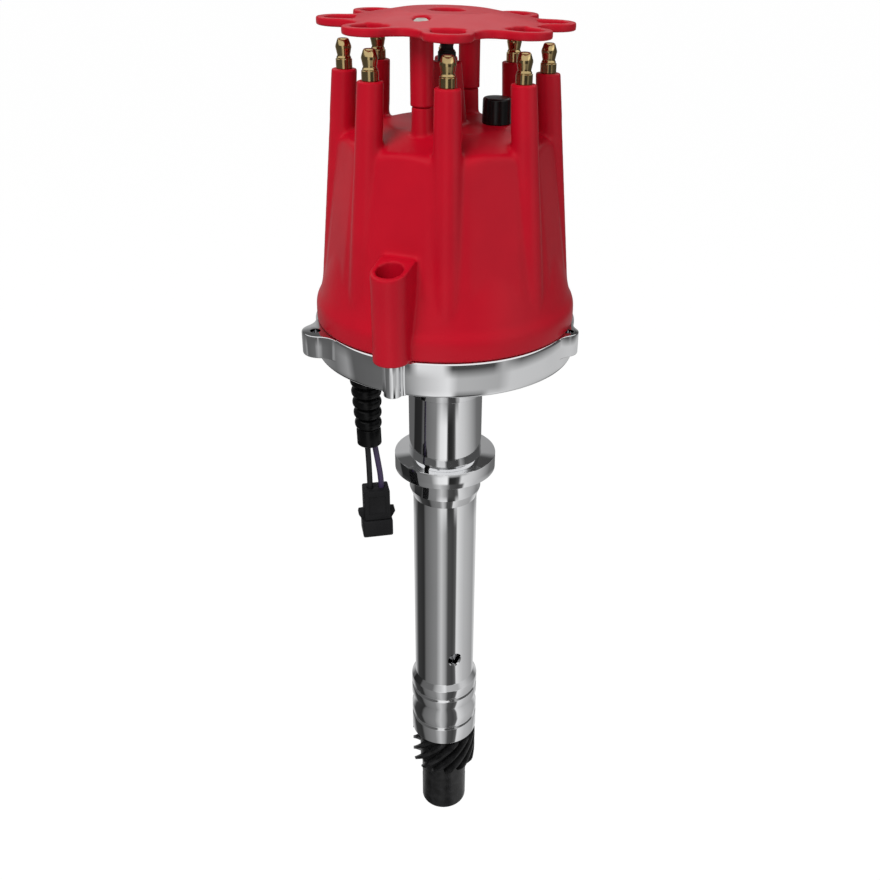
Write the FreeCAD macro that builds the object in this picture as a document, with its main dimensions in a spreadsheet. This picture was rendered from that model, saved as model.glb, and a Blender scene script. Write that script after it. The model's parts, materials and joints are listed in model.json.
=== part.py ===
import FreeCAD
import Part
import math
import operator
import os
from types import SimpleNamespace

import Sketcher

# Ignition distributor for an eight-cylinder engine, in millimetres.
# The origin is the centre of the hold-down collar's underside, +Z runs up the shaft.
# An azimuth counts from the front (-Y) towards +X, in degrees.

SIZES = [
    ("running_gap", 0.05, "radial clearance of a shaft in its bearing"),
    ("seat_gap", 0.02, "clearance of a piece seated in its pocket"),
    ("moving_gap", 0.3, "clearance between faces that pass each other"),
    # Housing, outside
    ("collar_radius", 22.1, "hold-down collar"),
    ("collar_height", 7.15, "hold-down collar"),
    ("collar_edge", 0.5, "chamfer on the collar"),
    ("pilot_radius", 15.85, "step under the collar"),
    ("pilot_depth", 10.0, "step under the collar"),
    ("pilot_taper", 4.5, "taper from the step to the stem"),
    ("stem_radius", 14.25, "long stem between collar and lands"),
    ("land_radius", 16.1, "lands that fit the engine block"),
    ("lands_length", 37.8, "from the first land's bevel to the stem's lower end"),
    ("land_bevel", 3.0, "length of a land's bevel"),
    ("upper_land", 11.5, "length of the upper land"),
    ("waist_radius", 15.2, "waist between the lands"),
    ("waist_length", 4.0, "waist between the lands"),
    ("groove_place", 4.4, "from a land's start to its groove"),
    ("groove_width", 2.4, "groove in a land"),
    ("groove_depth", 1.1, "groove in a land"),
    ("stem_depth", 154.8, "depth of the housing's lower end"),
    ("neck_radius", 15.75, "neck above the collar"),
    ("neck_line_place", 3.6, "fine turned line above the collar"),
    ("neck_line", 0.25, "depth of the fine turned line"),
    ("shoulder_radius", 16.8, "shoulder under the bowl"),
    ("shoulder_height", 38.2, "height where the shoulder begins"),
    ("bowl_bottom", 58.2, "height of the bowl's underside"),
    ("bowl_height", 13.9, "height of the bowl's ring"),
    ("bowl_radius", 52.6, "bowl's ring"),
    ("bowl_wall", 4.7, "bowl's ring"),
    ("bowl_floor", 6.0, "thickness of the bowl's floor"),
    ("bowl_edge", 1.2, "rounding of the bowl's lower edge"),
    # Ears and screw lobes on the bowl
    ("left_ear_azimuth", -67.0, "direction of the left ear"),
    ("left_ear_reach", 7.6, "how far the left ear stands out of the ring"),
    ("left_ear_radius", 7.2, "left ear's end arc"),
    ("left_hole_inset", 5.2, "left ear's hole inside its tip"),
    ("right_ear_azimuth", 68.0, "direction of the right ear"),
    ("right_ear_reach", 3.7, "how far the right ear stands out of the ring"),
    ("right_ear_radius", 5.8, "right ear's end arc"),
    ("right_hole_inset", 3.9, "right ear's hole inside its tip"),
    ("ear_height", 9.0, "thickness of an ear"),
    ("ear_hole_radius", 2.1, "hole in an ear"),
    ("ear_blend", 9.0, "concave arc from an ear to the ring"),
    ("lobe_reach", 4.3, "how far a screw lobe stands out of the ring"),
    ("lobe_radius", 3.6, "screw lobe's arc"),
    ("lobe_blend", 3.0, "concave arc from a lobe to the ring"),
    # Housing, inside
    ("shaft_radius", 6.35, "drive shaft"),
    ("bushing_wall", 2.4, "lower bushing"),
    ("bushing_length", 40.0, "lower bushing"),
    ("relief_gap", 1.6, "shaft to the bore between the bearings"),
    ("oil_hole_radius", 3.15, "oil hole in the stem"),
    ("oil_hole_rise", 15.35, "oil hole above the first land"),
    ("oil_hole_azimuth", 21.0, "direction of the oil hole"),
    # Upper ball bearing
    ("bearing_radius", 14.29, "bearing's outer race"),
    ("bearing_width", 7.94, "bearing"),
    ("race_wall", 2.4, "thickness of each race"),
    ("ball_radius", 1.98, "bearing ball"),
    ("ball_gap", 0.06, "ball to its groove"),
    ("ball_count", 8, "bearing balls"),
    ("clip_wire", 1.0, "thickness of the bearing's snap ring"),
    ("clip_reach", 0.8, "depth of the snap ring's groove"),
    ("clip_width", 2.2, "radial width of the snap ring"),
    ("clip_mouth", 40.0, "angle of the snap ring's opening"),
    # Cap
    ("flange_inset", 0.7, "cap's flange inside the bowl's ring"),
    ("flange_height", 8.5, "cap's flange"),
    ("flange_bevel", 1.4, "bevel from the flange to the skirt"),
    ("skirt_inset", 1.6, "skirt's foot inside the flange"),
    ("facet_foot", 29.5, "height where the facets begin above the flange's seat"),
    ("lip_gap", 0.3, "centring lip in the bowl"),
    ("lip_depth", 2.4, "lip that centres the cap in the bowl"),
    ("facet_inset", 6.9, "facets' foot inside the flange"),
    ("facet_lean", 5.6, "how far a facet leans in up to the deck"),
    ("facet_corner", 1.1, "rounding between two facets, outside their flats"),
    ("deck_height", 68.0, "height of the deck's edge above the flange's seat"),
    ("deck_round", 3.2, "width of the round between the facets and the deck"),
    ("deck_slope", 3.7, "height of the round between the facets and the deck"),
    ("deck_bend", 5.0, "radius of the round between the facets and the deck"),
    ("deck_rise", 3.8, "crown of the deck"),
    ("cap_wall", 2.4, "wall of the cap"),
    ("roof_wall", 5.0, "roof of the cap"),
    ("tower_count", 8, "spark towers"),
    ("first_tower", 0.5, "azimuth of the first tower"),
    ("tower_lean", 6.76, "how far a tower leans in from its foot to its top"),
    ("tower_top", 93.7, "height of a tower's top above the flange's seat"),
    ("tower_radius", 4.6, "tower's top"),
    ("tower_foot_inset", 1.7, "tower's foot inside the flange"),
    ("tower_foot_radius", 6.3, "tower's foot"),
    ("tower_foot", 4.0, "height of a tower's foot above the flange's seat"),
    ("middle_tower_radius", 5.4, "coil tower's top"),
    ("middle_tower_foot", 8.2, "coil tower's foot"),
    ("middle_tower_top", 96.9, "height of the coil tower's top above the flange's seat"),
    ("post_azimuth", -22.5, "direction of the first retainer post"),
    ("post_place", 22.5, "radius to a retainer post"),
    ("post_radius", 3.7, "cap's part of a retainer post"),
    ("post_foot_radius", 4.2, "foot of the cap's post"),
    ("post_split", 84.7, "height of the split between the posts above the flange's seat"),
    ("insert_boss", 4.4, "boss around an insert under the roof"),
    ("insert_boss_depth", 10.0, "how far a boss hangs below the roof"),
    # Cap screws and their bosses
    ("screw_azimuth", -21.5, "direction of the first cap screw"),
    ("screw_reach", 1.0, "cap screw's axis outside the bowl's radius"),
    ("screw_radius", 2.1, "cap screw's thread"),
    ("screw_clearance", 0.4, "cap screw in the cap's hole"),
    ("screw_grip", 11.0, "cap screw's hole in the housing"),
    ("screw_end_gap", 1.0, "a screw's end above its hole's bottom"),
    ("screw_dome", 1.4, "rounded part of a cap screw's head"),
    ("screw_head_radius", 4.2, "cap screw's head"),
    ("screw_head_height", 3.6, "cap screw's head"),
    ("screw_shelf", 13.0, "cap's shelf under a cap screw's head"),
    ("boss_radius", 6.8, "screw boss's half-round front"),
    ("boss_shift", 0.4, "boss's centre outside the screw's axis"),
    ("boss_front_height", 32.9, "boss's height at its front"),
    ("boss_back_height", 36.6, "boss's height where its slope ends"),
    ("boss_slope", 7.0, "from the boss's centre in to the end of its slope"),
    ("boss_root", 14.0, "from the boss's centre in to its buried root"),
    ("counterbore_radius", 4.9, "pocket for a cap screw's head"),
    # Terminals
    ("insert_radius", 2.4, "insert in a tower"),
    ("insert_reach", 8.0, "insert's bare length under its boss"),
    ("collar_ring_radius", 3.1, "terminal's collar"),
    ("collar_ring_height", 4.0, "terminal's collar"),
    ("terminal_neck", 2.0, "terminal's neck"),
    ("terminal_neck_length", 1.2, "terminal's neck"),
    ("terminal_bulb", 2.87, "terminal's bulb"),
    ("bulb_band", 1.6, "straight band of a terminal's bulb"),
    ("bulb_drop", 2.6, "bulb's band below the terminal's top"),
    ("terminal_tip", 2.05, "terminal's top"),
    ("terminal_height", 10.6, "terminal above its tower"),
    ("coil_terminal_radius", 3.3, "coil terminal's collar"),
    ("coil_terminal_neck", 2.3, "coil terminal's neck"),
    ("coil_terminal_bulb", 3.1, "coil terminal's bulb"),
    ("coil_terminal_tip", 2.3, "coil terminal's top"),
    ("coil_terminal_height", 10.8, "coil terminal above its tower"),
    # Vent plug
    ("vent_azimuth", 82.0, "direction of the vent plug"),
    ("vent_place", 18.7, "radius to the vent plug"),
    ("vent_radius", 5.4, "vent plug's head"),
    ("vent_height", 9.3, "vent plug's head"),
    ("vent_edge", 1.0, "rounding of the vent plug's head"),
    ("vent_stem", 2.8, "vent plug's stem"),
    ("vent_seat", 0.4, "raised seat of the vent plug"),
    ("vent_seat_step", 1.2, "seat's edge outside the vent plug"),
    ("vent_show", 1.5, "vent plug's stem below the ceiling"),
    # Wire retainer
    ("retainer_plane", 111.15, "height of the loops' top above the flange's seat"),
    ("retainer_plate", 2.9, "thickness of the retainer"),
    ("retainer_crown", 3.1, "rise of the retainer's middle"),
    ("retainer_hole", 6.6, "middle hole of the retainer"),
    ("crown_radius", 17.0, "where the crown starts to fall"),
    ("crown_foot", 34.0, "where the crown meets the loops' plane"),
    ("loop_shift", 0.66, "loop's arc outside its tower"),
    ("loop_radius", 8.6, "loop's outer arc"),
    ("loop_rim", 2.9, "width of a loop's rim"),
    ("loop_neck", 5.4, "from a loop's arc in to its hole's inner edge"),
    ("scallop_rise", 6.84, "from the chord of two loops out to their scallop's centre"),
    ("upper_post_radius", 4.15, "retainer's part of a post"),
    ("retainer_screw_radius", 1.7, "retainer screw"),
    ("retainer_head_radius", 3.0, "retainer screw's head"),
    ("retainer_head_height", 1.8, "retainer screw's head"),
    ("retainer_dome", 0.9, "rounded part of a retainer screw's head"),
    ("retainer_screw_grip", 9.0, "retainer screw's length in the cap's post"),
    # Shaft and gear
    ("socket_depth", 6.5, "oil pump socket below the shaft's end"),
    ("shoulder_lift", 2.0, "shaft's shoulder above the bearing"),
    ("stub_radius", 4.75, "upper stub that the advance sleeve turns on"),
    ("rivet_radius", 4.0, "shaft's riveted top"),
    ("drive_slot", 3.2, "oil pump slot in the shaft's end"),
    ("drive_slot_depth", 5.0, "oil pump slot in the shaft's end"),
    ("washer_radius", 11.0, "thrust washer"),
    ("washer_height", 0.7, "thrust washer"),
    ("washer_gap", 0.06, "end float beside a thrust washer"),
    ("gear_radius", 16.0, "gear's tooth tips"),
    ("gear_root", 12.3, "gear's tooth roots"),
    ("gear_teeth", 13, "gear teeth"),
    ("tooth_tip_share", 0.13, "half a tooth's tip, as a share of the pitch"),
    ("tooth_root_share", 0.3, "half a tooth's foot, as a share of the pitch"),
    ("gear_face", 21.0, "toothed length of the gear"),
    ("gear_helix", 42.0, "helix angle at the middle of the teeth"),
    ("gear_bevel", 1.4, "bevel on the teeth's ends"),
    ("hub_radius", 11.4, "gear's hub"),
    ("gear_length", 50.38, "gear with its hub"),
    ("hub_edge", 1.0, "rounding of the hub's lower end"),
    ("socket_radius", 7.0, "oil pump socket in the hub"),
    ("pin_rise", 17.0, "roll pin above the hub's lower end"),
    ("pin_radius", 2.35, "roll pin"),
    ("pin_wall", 0.8, "roll pin"),
    # Advance mechanism
    ("sleeve_wall", 2.6, "advance sleeve"),
    ("sleeve_top", 84.0, "height of the sleeve's shoulder"),
    ("sleeve_spigot", 6.6, "sleeve's spigot in the weight base"),
    ("base_plate", 2.0, "thickness of the weight base"),
    ("base_hub", 14.5, "middle of the weight base"),
    ("pivot_place", 24.0, "radius to a weight's pivot"),
    ("pivot_radius", 2.0, "weight's pivot"),
    ("pivot_pad", 5.0, "pad around a pivot"),
    ("link_place", 16.0, "radius to a weight's drive pin"),
    ("link_radius", 1.5, "weight's drive pin"),
    ("link_pad", 3.1, "pad around a drive pin"),
    ("weight_height", 5.0, "thickness of a weight"),
    ("weight_inner", 12.6, "inner arc of a weight"),
    ("weight_outer", 29.0, "outer arc of a weight"),
    ("weight_sweep", 68.0, "angle that a weight spans"),
    ("weight_lead", 12.0, "angle from a pivot to its weight's near end"),
    ("web_overlap", 1.0, "angle by which a weight's web runs into its mass"),
    ("layer_gap", 0.3, "gap between the layers of the mechanism"),
    ("cam_plate", 2.4, "thickness of the driver plate"),
    ("cam_hub", 13.5, "middle of the driver plate"),
    ("cam_reach", 20.6, "driver plate's arm beyond its slots"),
    ("cam_half_width", 5.0, "half the width of the driver plate's arm"),
    ("cam_slot_in", 15.8, "inner end of a drive pin's slot"),
    ("cam_slot_out", 17.4, "outer end of a drive pin's slot"),
    ("cam_slot_radius", 1.9, "half the width of a drive pin's slot"),
    ("spring_post_angle", 60.0, "angle from a pivot to its spring's post"),
    ("spring_post_place", 18.0, "radius to a spring post"),
    ("spring_post_radius", 1.5, "spring post"),
    ("spring_post_height", 3.8, "spring post"),
    ("spring_level", 2.1, "spring's axis above the driver plate"),
    ("spring_radius", 1.8, "advance spring's coils"),
    ("spring_wire", 0.45, "half the spring wire's diameter"),
    ("spring_turns", 12, "coils of an advance spring"),
    ("stop_angle", 30.0, "angle from a pivot to the stop pin"),
    ("stop_place", 11.0, "radius to the stop pin"),
    ("stop_radius", 1.5, "stop pin"),
    ("stop_bushing_radius", 2.55, "bushing on the stop pin"),
    ("advance_range", 12.0, "mechanical advance in distributor degrees"),
    ("stand_angle", 60.0, "angle from a pivot to a rotor stand"),
    ("stand_place", 25.5, "radius to a rotor stand"),
    ("stand_radius", 3.0, "rotor stand"),
    ("stand_height", 12.6, "rotor stand"),
    # Rotor
    ("rotor_disc_radius", 30.0, "rotor's disc"),
    ("rotor_disc_height", 3.4, "rotor's disc"),
    ("rotor_tower_foot", 19.0, "foot of the rotor's tower"),
    ("rotor_tower_radius", 11.0, "top of the rotor's tower"),
    ("rotor_room", 2.5, "rotor's top below the inserts' bosses"),
    ("rotor_arm_height", 5.4, "rotor's arm"),
    ("rotor_arm_tail", 11.0, "rotor's arm behind the axis"),
    ("rotor_arm_half", 6.5, "half the width of the rotor's arm"),
    ("contact_half", 3.2, "half the width of the rotor's contact"),
    ("contact_sheet", 1.2, "thickness of the rotor's contact"),
    ("contact_tip", 2.6, "length of the contact's tip beyond the arm"),
    ("contact_tip_half", 5.0, "half the width of the contact's tip"),
    ("spark_gap", 0.85, "rotor tip to an insert"),
    ("rotor_screw_radius", 1.5, "rotor screw"),
    ("rotor_screw_grip", 3.4, "rotor screw's length in its stand"),
    ("rotor_screw_head", 2.9, "rotor screw's head"),
    ("brush_radius", 2.2, "carbon brush"),
    ("brush_length", 8.0, "carbon brush"),
    ("brush_gap", 0.1, "brush to the rotor's contact"),
    ("brush_boss", 5.2, "boss around the brush"),
    ("brush_spring_length", 7.0, "spring behind the brush"),
    # Pickup
    ("reluctor_low", 67.6, "height of the reluctor's underside"),
    ("reluctor_height", 7.0, "reluctor"),
    ("reluctor_hub", 12.0, "reluctor's hub"),
    ("reluctor_radius", 21.0, "reluctor's teeth"),
    ("reluctor_tooth", 2.6, "half the width of a reluctor tooth"),
    ("reluctor_teeth", 8, "reluctor teeth"),
    ("pickup_gap", 0.6, "reluctor to the pole"),
    ("pickup_half", 7.4, "half the width of the pickup"),
    ("pole_show", 3.0, "pole's bare length before the pickup's case"),
    ("pickup_inset", 4.9, "pickup's outer face inside the bowl's wall"),
    ("pickup_height", 10.0, "pickup"),
    ("pole_half", 2.4, "half the width of the pole"),
    ("pole_height", 6.0, "pole"),
    ("bracket_width", 9.6, "pickup bracket"),
    ("bracket_gap", 0.4, "pickup bracket to the boot's flange"),
    ("bracket_half", 14.0, "half the width of the pickup bracket"),
    ("bracket_plate", 1.6, "pickup bracket"),
    ("bracket_screw_side", 11.0, "bracket screw beside the pickup"),
    ("bracket_screw_radius", 1.5, "bracket screw"),
    ("bracket_screw_head", 2.5, "bracket screw's head"),
    ("bracket_screw_grip", 4.0, "bracket screw's length in the floor"),
    # Cable
    ("boot_azimuth", -56.5, "direction of the cable boot"),
    ("boot_inset", 9.5, "cable boot inside the bowl's wall"),
    ("boot_neck", 4.9, "boot's neck in the floor"),
    ("boot_flange", 6.4, "boot's flange on the floor"),
    ("boot_flange_height", 1.3, "boot's flange on the floor"),
    ("boot_first_ridge", 6.2, "boot's widest ridge"),
    ("boot_last_ridge", 5.2, "boot's narrowest ridge"),
    ("boot_valley", 1.5, "depth between two ridges"),
    ("boot_ridges", 6, "boot's ridges"),
    ("boot_pitch", 5.1, "distance between two ridges"),
    ("ridge_gap", 0.0025, "flat between two ridges"),
    ("boot_cuff", 4.85, "boot's plain end"),
    ("boot_cuff_length", 6.4, "boot's plain end"),
    ("boot_bore", 3.2, "bore of the boot"),
    ("wire_radius", 1.05, "pickup wire"),
    ("wire_spread", 1.25, "half the distance between the wires at the pickup"),
    ("plug_across", -29.4, "connector's place along X"),
    ("plug_back", -21.2, "connector's place along Y"),
    ("plug_top", 2.6, "height of the connector's top"),
    ("plug_waist", 17.4, "length of the connector's upper body"),
    ("plug_length", 26.8, "length of the connector"),
    ("plug_half_width", 5.5, "half the width of the upper body"),
    ("plug_half_depth", 4.2, "half the depth of the upper body"),
    ("plug_skirt_half", 6.4, "half the width of the lower body"),
    ("plug_skirt_depth", 4.9, "half the depth of the lower body"),
    ("plug_wall", 1.1, "wall of the connector's socket"),
    ("plug_latch", 7.9, "half the width over the latches"),
    ("plug_latch_height", 3.6, "height of a latch"),
    ("plug_latch_half", 1.8, "half the depth of a latch"),
    ("wire_pitch", 4.4, "distance between the wires at the connector"),
    ("plug_entry", 3.0, "depth of a wire's hole in the connector"),
    ("plug_entry_gap", 0.25, "radial clearance of a wire in the connector"),
    ("blade_half", 0.9, "half the width of a contact blade"),
    ("blade_half_sheet", 0.3, "half the thickness of a contact blade"),
    ("blade_length", 8.0, "contact blade"),
]

UP = FreeCAD.Vector(0, 0, 1)
FULL_TURN = 360
HALF_TURN = 180
QUARTER_TURN = 90

doc = FreeCAD.newDocument("ignition_distributor")
parts = {}


class Size:
    """A length or angle that knows its value and the sheet formula it comes from."""

    def __init__(self, value, text):
        self.value = float(value)
        self.text = text

    def __add__(self, other):
        return combined(self, "+", other)

    def __radd__(self, other):
        return combined(other, "+", self)

    def __sub__(self, other):
        return combined(self, "-", other)

    def __rsub__(self, other):
        return combined(other, "-", self)

    def __mul__(self, other):
        return combined(self, "*", other)

    def __rmul__(self, other):
        return combined(other, "*", self)

    def __truediv__(self, other):
        return combined(self, "/", other)

    def __rtruediv__(self, other):
        return combined(other, "/", self)

    def __neg__(self):
        return combined(-1, "*", self)


OPERATIONS = {"+": operator.add, "-": operator.sub, "*": operator.mul, "/": operator.truediv}


def as_size(value):
    """Return value as a Size, a plain number included."""
    return value if isinstance(value, Size) else Size(value, f"({value})")


def combined(left, sign, right):
    left = as_size(left)
    right = as_size(right)
    return Size(OPERATIONS[sign](left.value, right.value), f"({left.text} {sign} {right.text})")


def sine(angle):
    angle = as_size(angle)
    return Size(math.sin(math.radians(angle.value)), f"sin({angle.text})")


def cosine(angle):
    angle = as_size(angle)
    return Size(math.cos(math.radians(angle.value)), f"cos({angle.text})")


def arc_cosine(ratio):
    """Return the angle in degrees whose cosine is ratio."""
    return Size(math.degrees(math.acos(ratio.value)), f"(acos({ratio.text}) / 1 deg)")


def root(square):
    return Size(math.sqrt(square.value), f"sqrt({square.text})")


def sheet_of_sizes():
    """Put every driving size into a spreadsheet and return them by name."""
    sheet = doc.addObject("Spreadsheet::Sheet", "sizes")
    for row, (name, value, note) in enumerate(SIZES, start=1):
        sheet.set(f"A{row}", str(value))
        sheet.setAlias(f"A{row}", name)
        sheet.set(f"B{row}", note)
    return SimpleNamespace(**{name: Size(value, f"sizes.{name}") for name, value, _ in SIZES})


S = sheet_of_sizes()


# Heights and directions that several pieces share
RIM = S.bowl_bottom + S.bowl_height
FLOOR = S.bowl_bottom + S.bowl_floor
BOWL_INNER = S.bowl_radius - S.bowl_wall
LAND_START = S.stem_depth - S.lands_length
BORE = S.shaft_radius + S.running_gap
BUSHING = BORE + S.bushing_wall
CLIP_TOP = FLOOR - S.clip_reach
CLIP_LOW = CLIP_TOP - S.clip_wire
BEARING_TOP = CLIP_LOW - S.seat_gap
BEARING_LOW = BEARING_TOP - S.bearing_width
SHAFT_SHOULDER = BEARING_TOP + S.shoulder_lift
FLANGE = S.bowl_radius - S.flange_inset
LIP = BOWL_INNER - S.lip_gap
FACET_LOW = FLANGE - S.facet_inset
FACET_HIGH = FACET_LOW - S.facet_lean
DECK = RIM + S.deck_height
CROWN = DECK + S.deck_slope + S.deck_rise
ROOF = DECK - S.roof_wall
CEILING = CROWN - S.roof_wall
TOWER_FOOT_PLACE = FLANGE - S.tower_foot_inset - S.tower_foot_radius
TOWER_PLACE = TOWER_FOOT_PLACE - S.tower_lean
LOOP_PLACE = TOWER_PLACE + S.loop_shift
SCREW_PLACE = S.bowl_radius + S.screw_reach
BOSS_PLACE = SCREW_PLACE + S.boss_shift
TOWER_TOP = RIM + S.tower_top
MIDDLE_TOP = RIM + S.middle_tower_top
SPLIT = RIM + S.post_split
INSERT_BOSS_END = ROOF - S.insert_boss_depth
INSERT_END = INSERT_BOSS_END - S.insert_reach
GEAR_TOP = -(S.stem_depth + S.washer_height + S.washer_gap * 2)
HUB_END = S.gear_length - GEAR_TOP
SHAFT_END = HUB_END - S.socket_depth
PIN_DEPTH = HUB_END - S.pin_rise
SLEEVE_LOW = SHAFT_SHOULDER + S.washer_height + S.washer_gap * 2
BASE_TOP = S.sleeve_top + S.base_plate
WEIGHT_LOW = BASE_TOP + S.layer_gap
WEIGHT_TOP = WEIGHT_LOW + S.weight_height
CAM_LOW = WEIGHT_TOP + S.layer_gap
CAM_TOP = CAM_LOW + S.cam_plate
SPRING_HEIGHT = CAM_TOP + S.spring_level
STAND_TOP = BASE_TOP + S.stand_height
ROTOR_TOP = INSERT_BOSS_END - S.rotor_room
CONTACT_TIP = TOWER_PLACE - S.insert_radius - S.spark_gap
CONTACT_TOP = ROTOR_TOP + S.contact_sheet
BRUSH_LOW = CONTACT_TOP + S.brush_gap
BRUSH_TOP = BRUSH_LOW + S.brush_length
BRUSH_END = BRUSH_TOP + S.brush_spring_length
PICKUP_LOW = FLOOR + S.bracket_plate
PICKUP_INNER = S.reluctor_radius + S.pickup_gap + S.pole_show
PICKUP_OUTER = BOWL_INNER - S.pickup_inset
BOOT_PLACE = BOWL_INNER - S.boot_inset
BRACKET_OUTER = BOOT_PLACE - S.boot_flange - S.bracket_gap
BRACKET_INNER = BRACKET_OUTER - S.bracket_width
TOWER_STEP = FULL_TURN / S.tower_count
PIVOT_ANGLES = (180.0, 0.0)
ARC_SHARE = 0.45


def bind(thing, name, size):
    """Tie a property to the formula of a size."""
    thing.setExpression(name, as_size(size).text)


def polar(radius, azimuth):
    """Return X and Y of a point at this radius and azimuth."""
    return radius * sine(azimuth), -1 * radius * cosine(azimuth)


def put(thing, across=0, back=0, up=0, turn=None, axis=UP):
    """Place a thing by bound formulas, turned about an axis through its own origin."""
    if turn is not None:
        angle = as_size(turn)
        thing.Placement = FreeCAD.Placement(FreeCAD.Vector(), FreeCAD.Rotation(axis, angle.value))
        bind(thing, "Placement.Rotation.Angle", angle)
    bind(thing, "Placement.Base.x", across)
    bind(thing, "Placement.Base.y", back)
    bind(thing, "Placement.Base.z", up)
    return thing


def put_polar(thing, radius, azimuth, up=0):
    """Place a thing at a radius and azimuth, with its own X pointing outwards."""
    across, back = polar(radius, azimuth)
    return put(thing, across, back, up, turn=azimuth - QUARTER_TURN)


def cylinder(name, radius, height, across=0, back=0, up=0):
    made = doc.addObject("Part::Cylinder", name)
    bind(made, "Radius", radius)
    bind(made, "Height", height)
    return put(made, across, back, up)


def sector(name, radius, height, sweep, azimuth, up):
    """A cylinder's slice that starts at an azimuth and spans a sweep towards larger azimuths."""
    made = doc.addObject("Part::Cylinder", name)
    bind(made, "Radius", radius)
    bind(made, "Height", height)
    bind(made, "Angle", sweep)
    return put(made, 0, 0, up, turn=azimuth - QUARTER_TURN)


def cone(name, low_radius, high_radius, height, across=0, back=0, up=0):
    made = doc.addObject("Part::Cone", name)
    bind(made, "Radius1", low_radius)
    bind(made, "Radius2", high_radius)
    bind(made, "Height", height)
    return put(made, across, back, up)


def radial_box(name, inner, outer, half_width, low, height, azimuth, side=0):
    """A box that runs outwards along an azimuth, moved sideways by side."""
    made = doc.addObject("Part::Box", name)
    bind(made, "Length", outer - inner)
    bind(made, "Width", as_size(half_width) * 2)
    bind(made, "Height", height)
    out_x, out_y = sine(azimuth), -1 * cosine(azimuth)
    shift = as_size(side) - half_width
    across = inner * out_x - shift * out_y
    back = inner * out_y + shift * out_x
    return put(made, across, back, low, turn=azimuth - QUARTER_TURN)


def cut(name, base, *tools):
    made = doc.addObject("Part::Cut", name)
    made.Base = base
    made.Tool = tools[0] if len(tools) == 1 else fuse(name + "_tools", *tools)
    return made


def fuse(name, *pieces):
    made = doc.addObject("Part::MultiFuse", name)
    made.Shapes = list(pieces)
    made.Refine = True
    return made


def common(name, *pieces):
    made = doc.addObject("Part::MultiCommon", name)
    made.Shapes = list(pieces)
    return made


def group(name, *pieces):
    """Several separate solids kept as one thing."""
    made = doc.addObject("Part::Compound", name)
    made.Links = list(pieces)
    return made


def finish(thing, label):
    """Name a finished sub-part, which also names its file."""
    thing.Label = label
    parts[label] = thing
    return thing


def copies(name, thing, places):
    """Linked copies of a thing at (radius, azimuth) places, kept as one group."""
    made = []
    for number, (radius, azimuth) in enumerate(places, start=1):
        link = doc.addObject("App::Link", f"{name}_{number}")
        link.LinkedObject = thing
        made.append(put_polar(link, radius, azimuth))
    return group(name + "_set", *made)


def arc_centre(start, end, radius):
    """Centre of the arc from start to end: a positive radius turns left, a negative one right."""
    middle_x = (start[0] + end[0]) / 2
    middle_y = (start[1] + end[1]) / 2
    chord_x = end[0] - start[0]
    chord_y = end[1] - start[1]
    chord = math.hypot(chord_x, chord_y)
    reach = math.sqrt(max(radius * radius - chord * chord / 4, 0)) / chord
    side = 1 if radius > 0 else -1
    return middle_x - side * chord_y * reach, middle_y + side * chord_x * reach


def sketch_on(body, name, role, outline, level=None):
    """A closed sketch on one of the body's planes.

    Each corner of the outline is (x, y), or (x, y, radius) where an arc leads on to the next.
    """
    sketch = body.newObject("Sketcher::SketchObject", name)
    plane = next(f for f in body.Origin.OriginFeatures if f.Role == role)
    sketch.AttachmentSupport = [(plane, "")]
    sketch.MapMode = "FlatFace"
    if level is not None:
        bind(sketch, "AttachmentOffset.Base.z", level)
    corners = [[as_size(value) for value in corner] for corner in outline]
    count = len(corners)
    starts = []
    ends = []
    for number, corner in enumerate(corners):
        start = (corner[0].value, corner[1].value)
        following = corners[(number + 1) % count]
        end = (following[0].value, following[1].value)
        if len(corner) == 2:
            line = Part.LineSegment(FreeCAD.Vector(*start, 0), FreeCAD.Vector(*end, 0))
            sketch.addGeometry(line)
            starts.append((number, 1))
            ends.append((number, 2))
            continue
        radius = corner[2].value
        centre = arc_centre(start, end, radius)
        circle = Part.Circle(FreeCAD.Vector(*centre, 0), UP, abs(radius))
        angles = [math.atan2(p[1] - centre[1], p[0] - centre[0]) for p in (start, end)]
        if radius < 0:
            angles.reverse()
        sketch.addGeometry(Part.ArcOfCircle(circle, *angles))
        starts.append((number, 1 if radius > 0 else 2))
        ends.append((number, 2 if radius > 0 else 1))
    rules = []
    for number in range(count):
        rules.append(Sketcher.Constraint("Coincident", *ends[number], *starts[(number + 1) % count]))
    formulas = []
    for number, corner in enumerate(corners):
        for kind, size in zip(("DistanceX", "DistanceY"), corner):
            rules.append(Sketcher.Constraint(kind, -1, 1, *starts[number], size.value))
            formulas.append((len(rules) - 1, size))
        if len(corner) > 2:
            bend = corner[2] if corner[2].value > 0 else -corner[2]
            rules.append(Sketcher.Constraint("Radius", number, bend.value))
            formulas.append((len(rules) - 1, bend))
    sketch.addConstraint(rules)
    for index, size in formulas:
        bind(sketch, f"Constraints[{index}]", size)
    return sketch


def turned(name, outline):
    """A body turned about its own Z from an outline of (radius, height) corners."""
    body = doc.addObject("PartDesign::Body", name)
    sketch = sketch_on(body, name + "_outline", "XZ_Plane", outline)
    revolution = body.newObject("PartDesign::Revolution", name + "_turned")
    revolution.Profile = sketch
    revolution.ReferenceAxis = (sketch, ["V_Axis"])
    revolution.Angle = FULL_TURN
    return body


def padded(name, outline, low, height):
    """A body that is an outline seen from above, raised to a height."""
    body = doc.addObject("PartDesign::Body", name)
    sketch = sketch_on(body, name + "_outline", "XY_Plane", outline, low)
    pad = body.newObject("PartDesign::Pad", name + "_pad")
    pad.Profile = sketch
    bind(pad, "Length", height)
    return body


def tube_outline(inner, outer, low, high):
    return [(inner, low), (outer, low), (outer, high), (inner, high)]


def rod_outline(radius, low, high):
    return tube_outline(0, radius, low, high)


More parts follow.
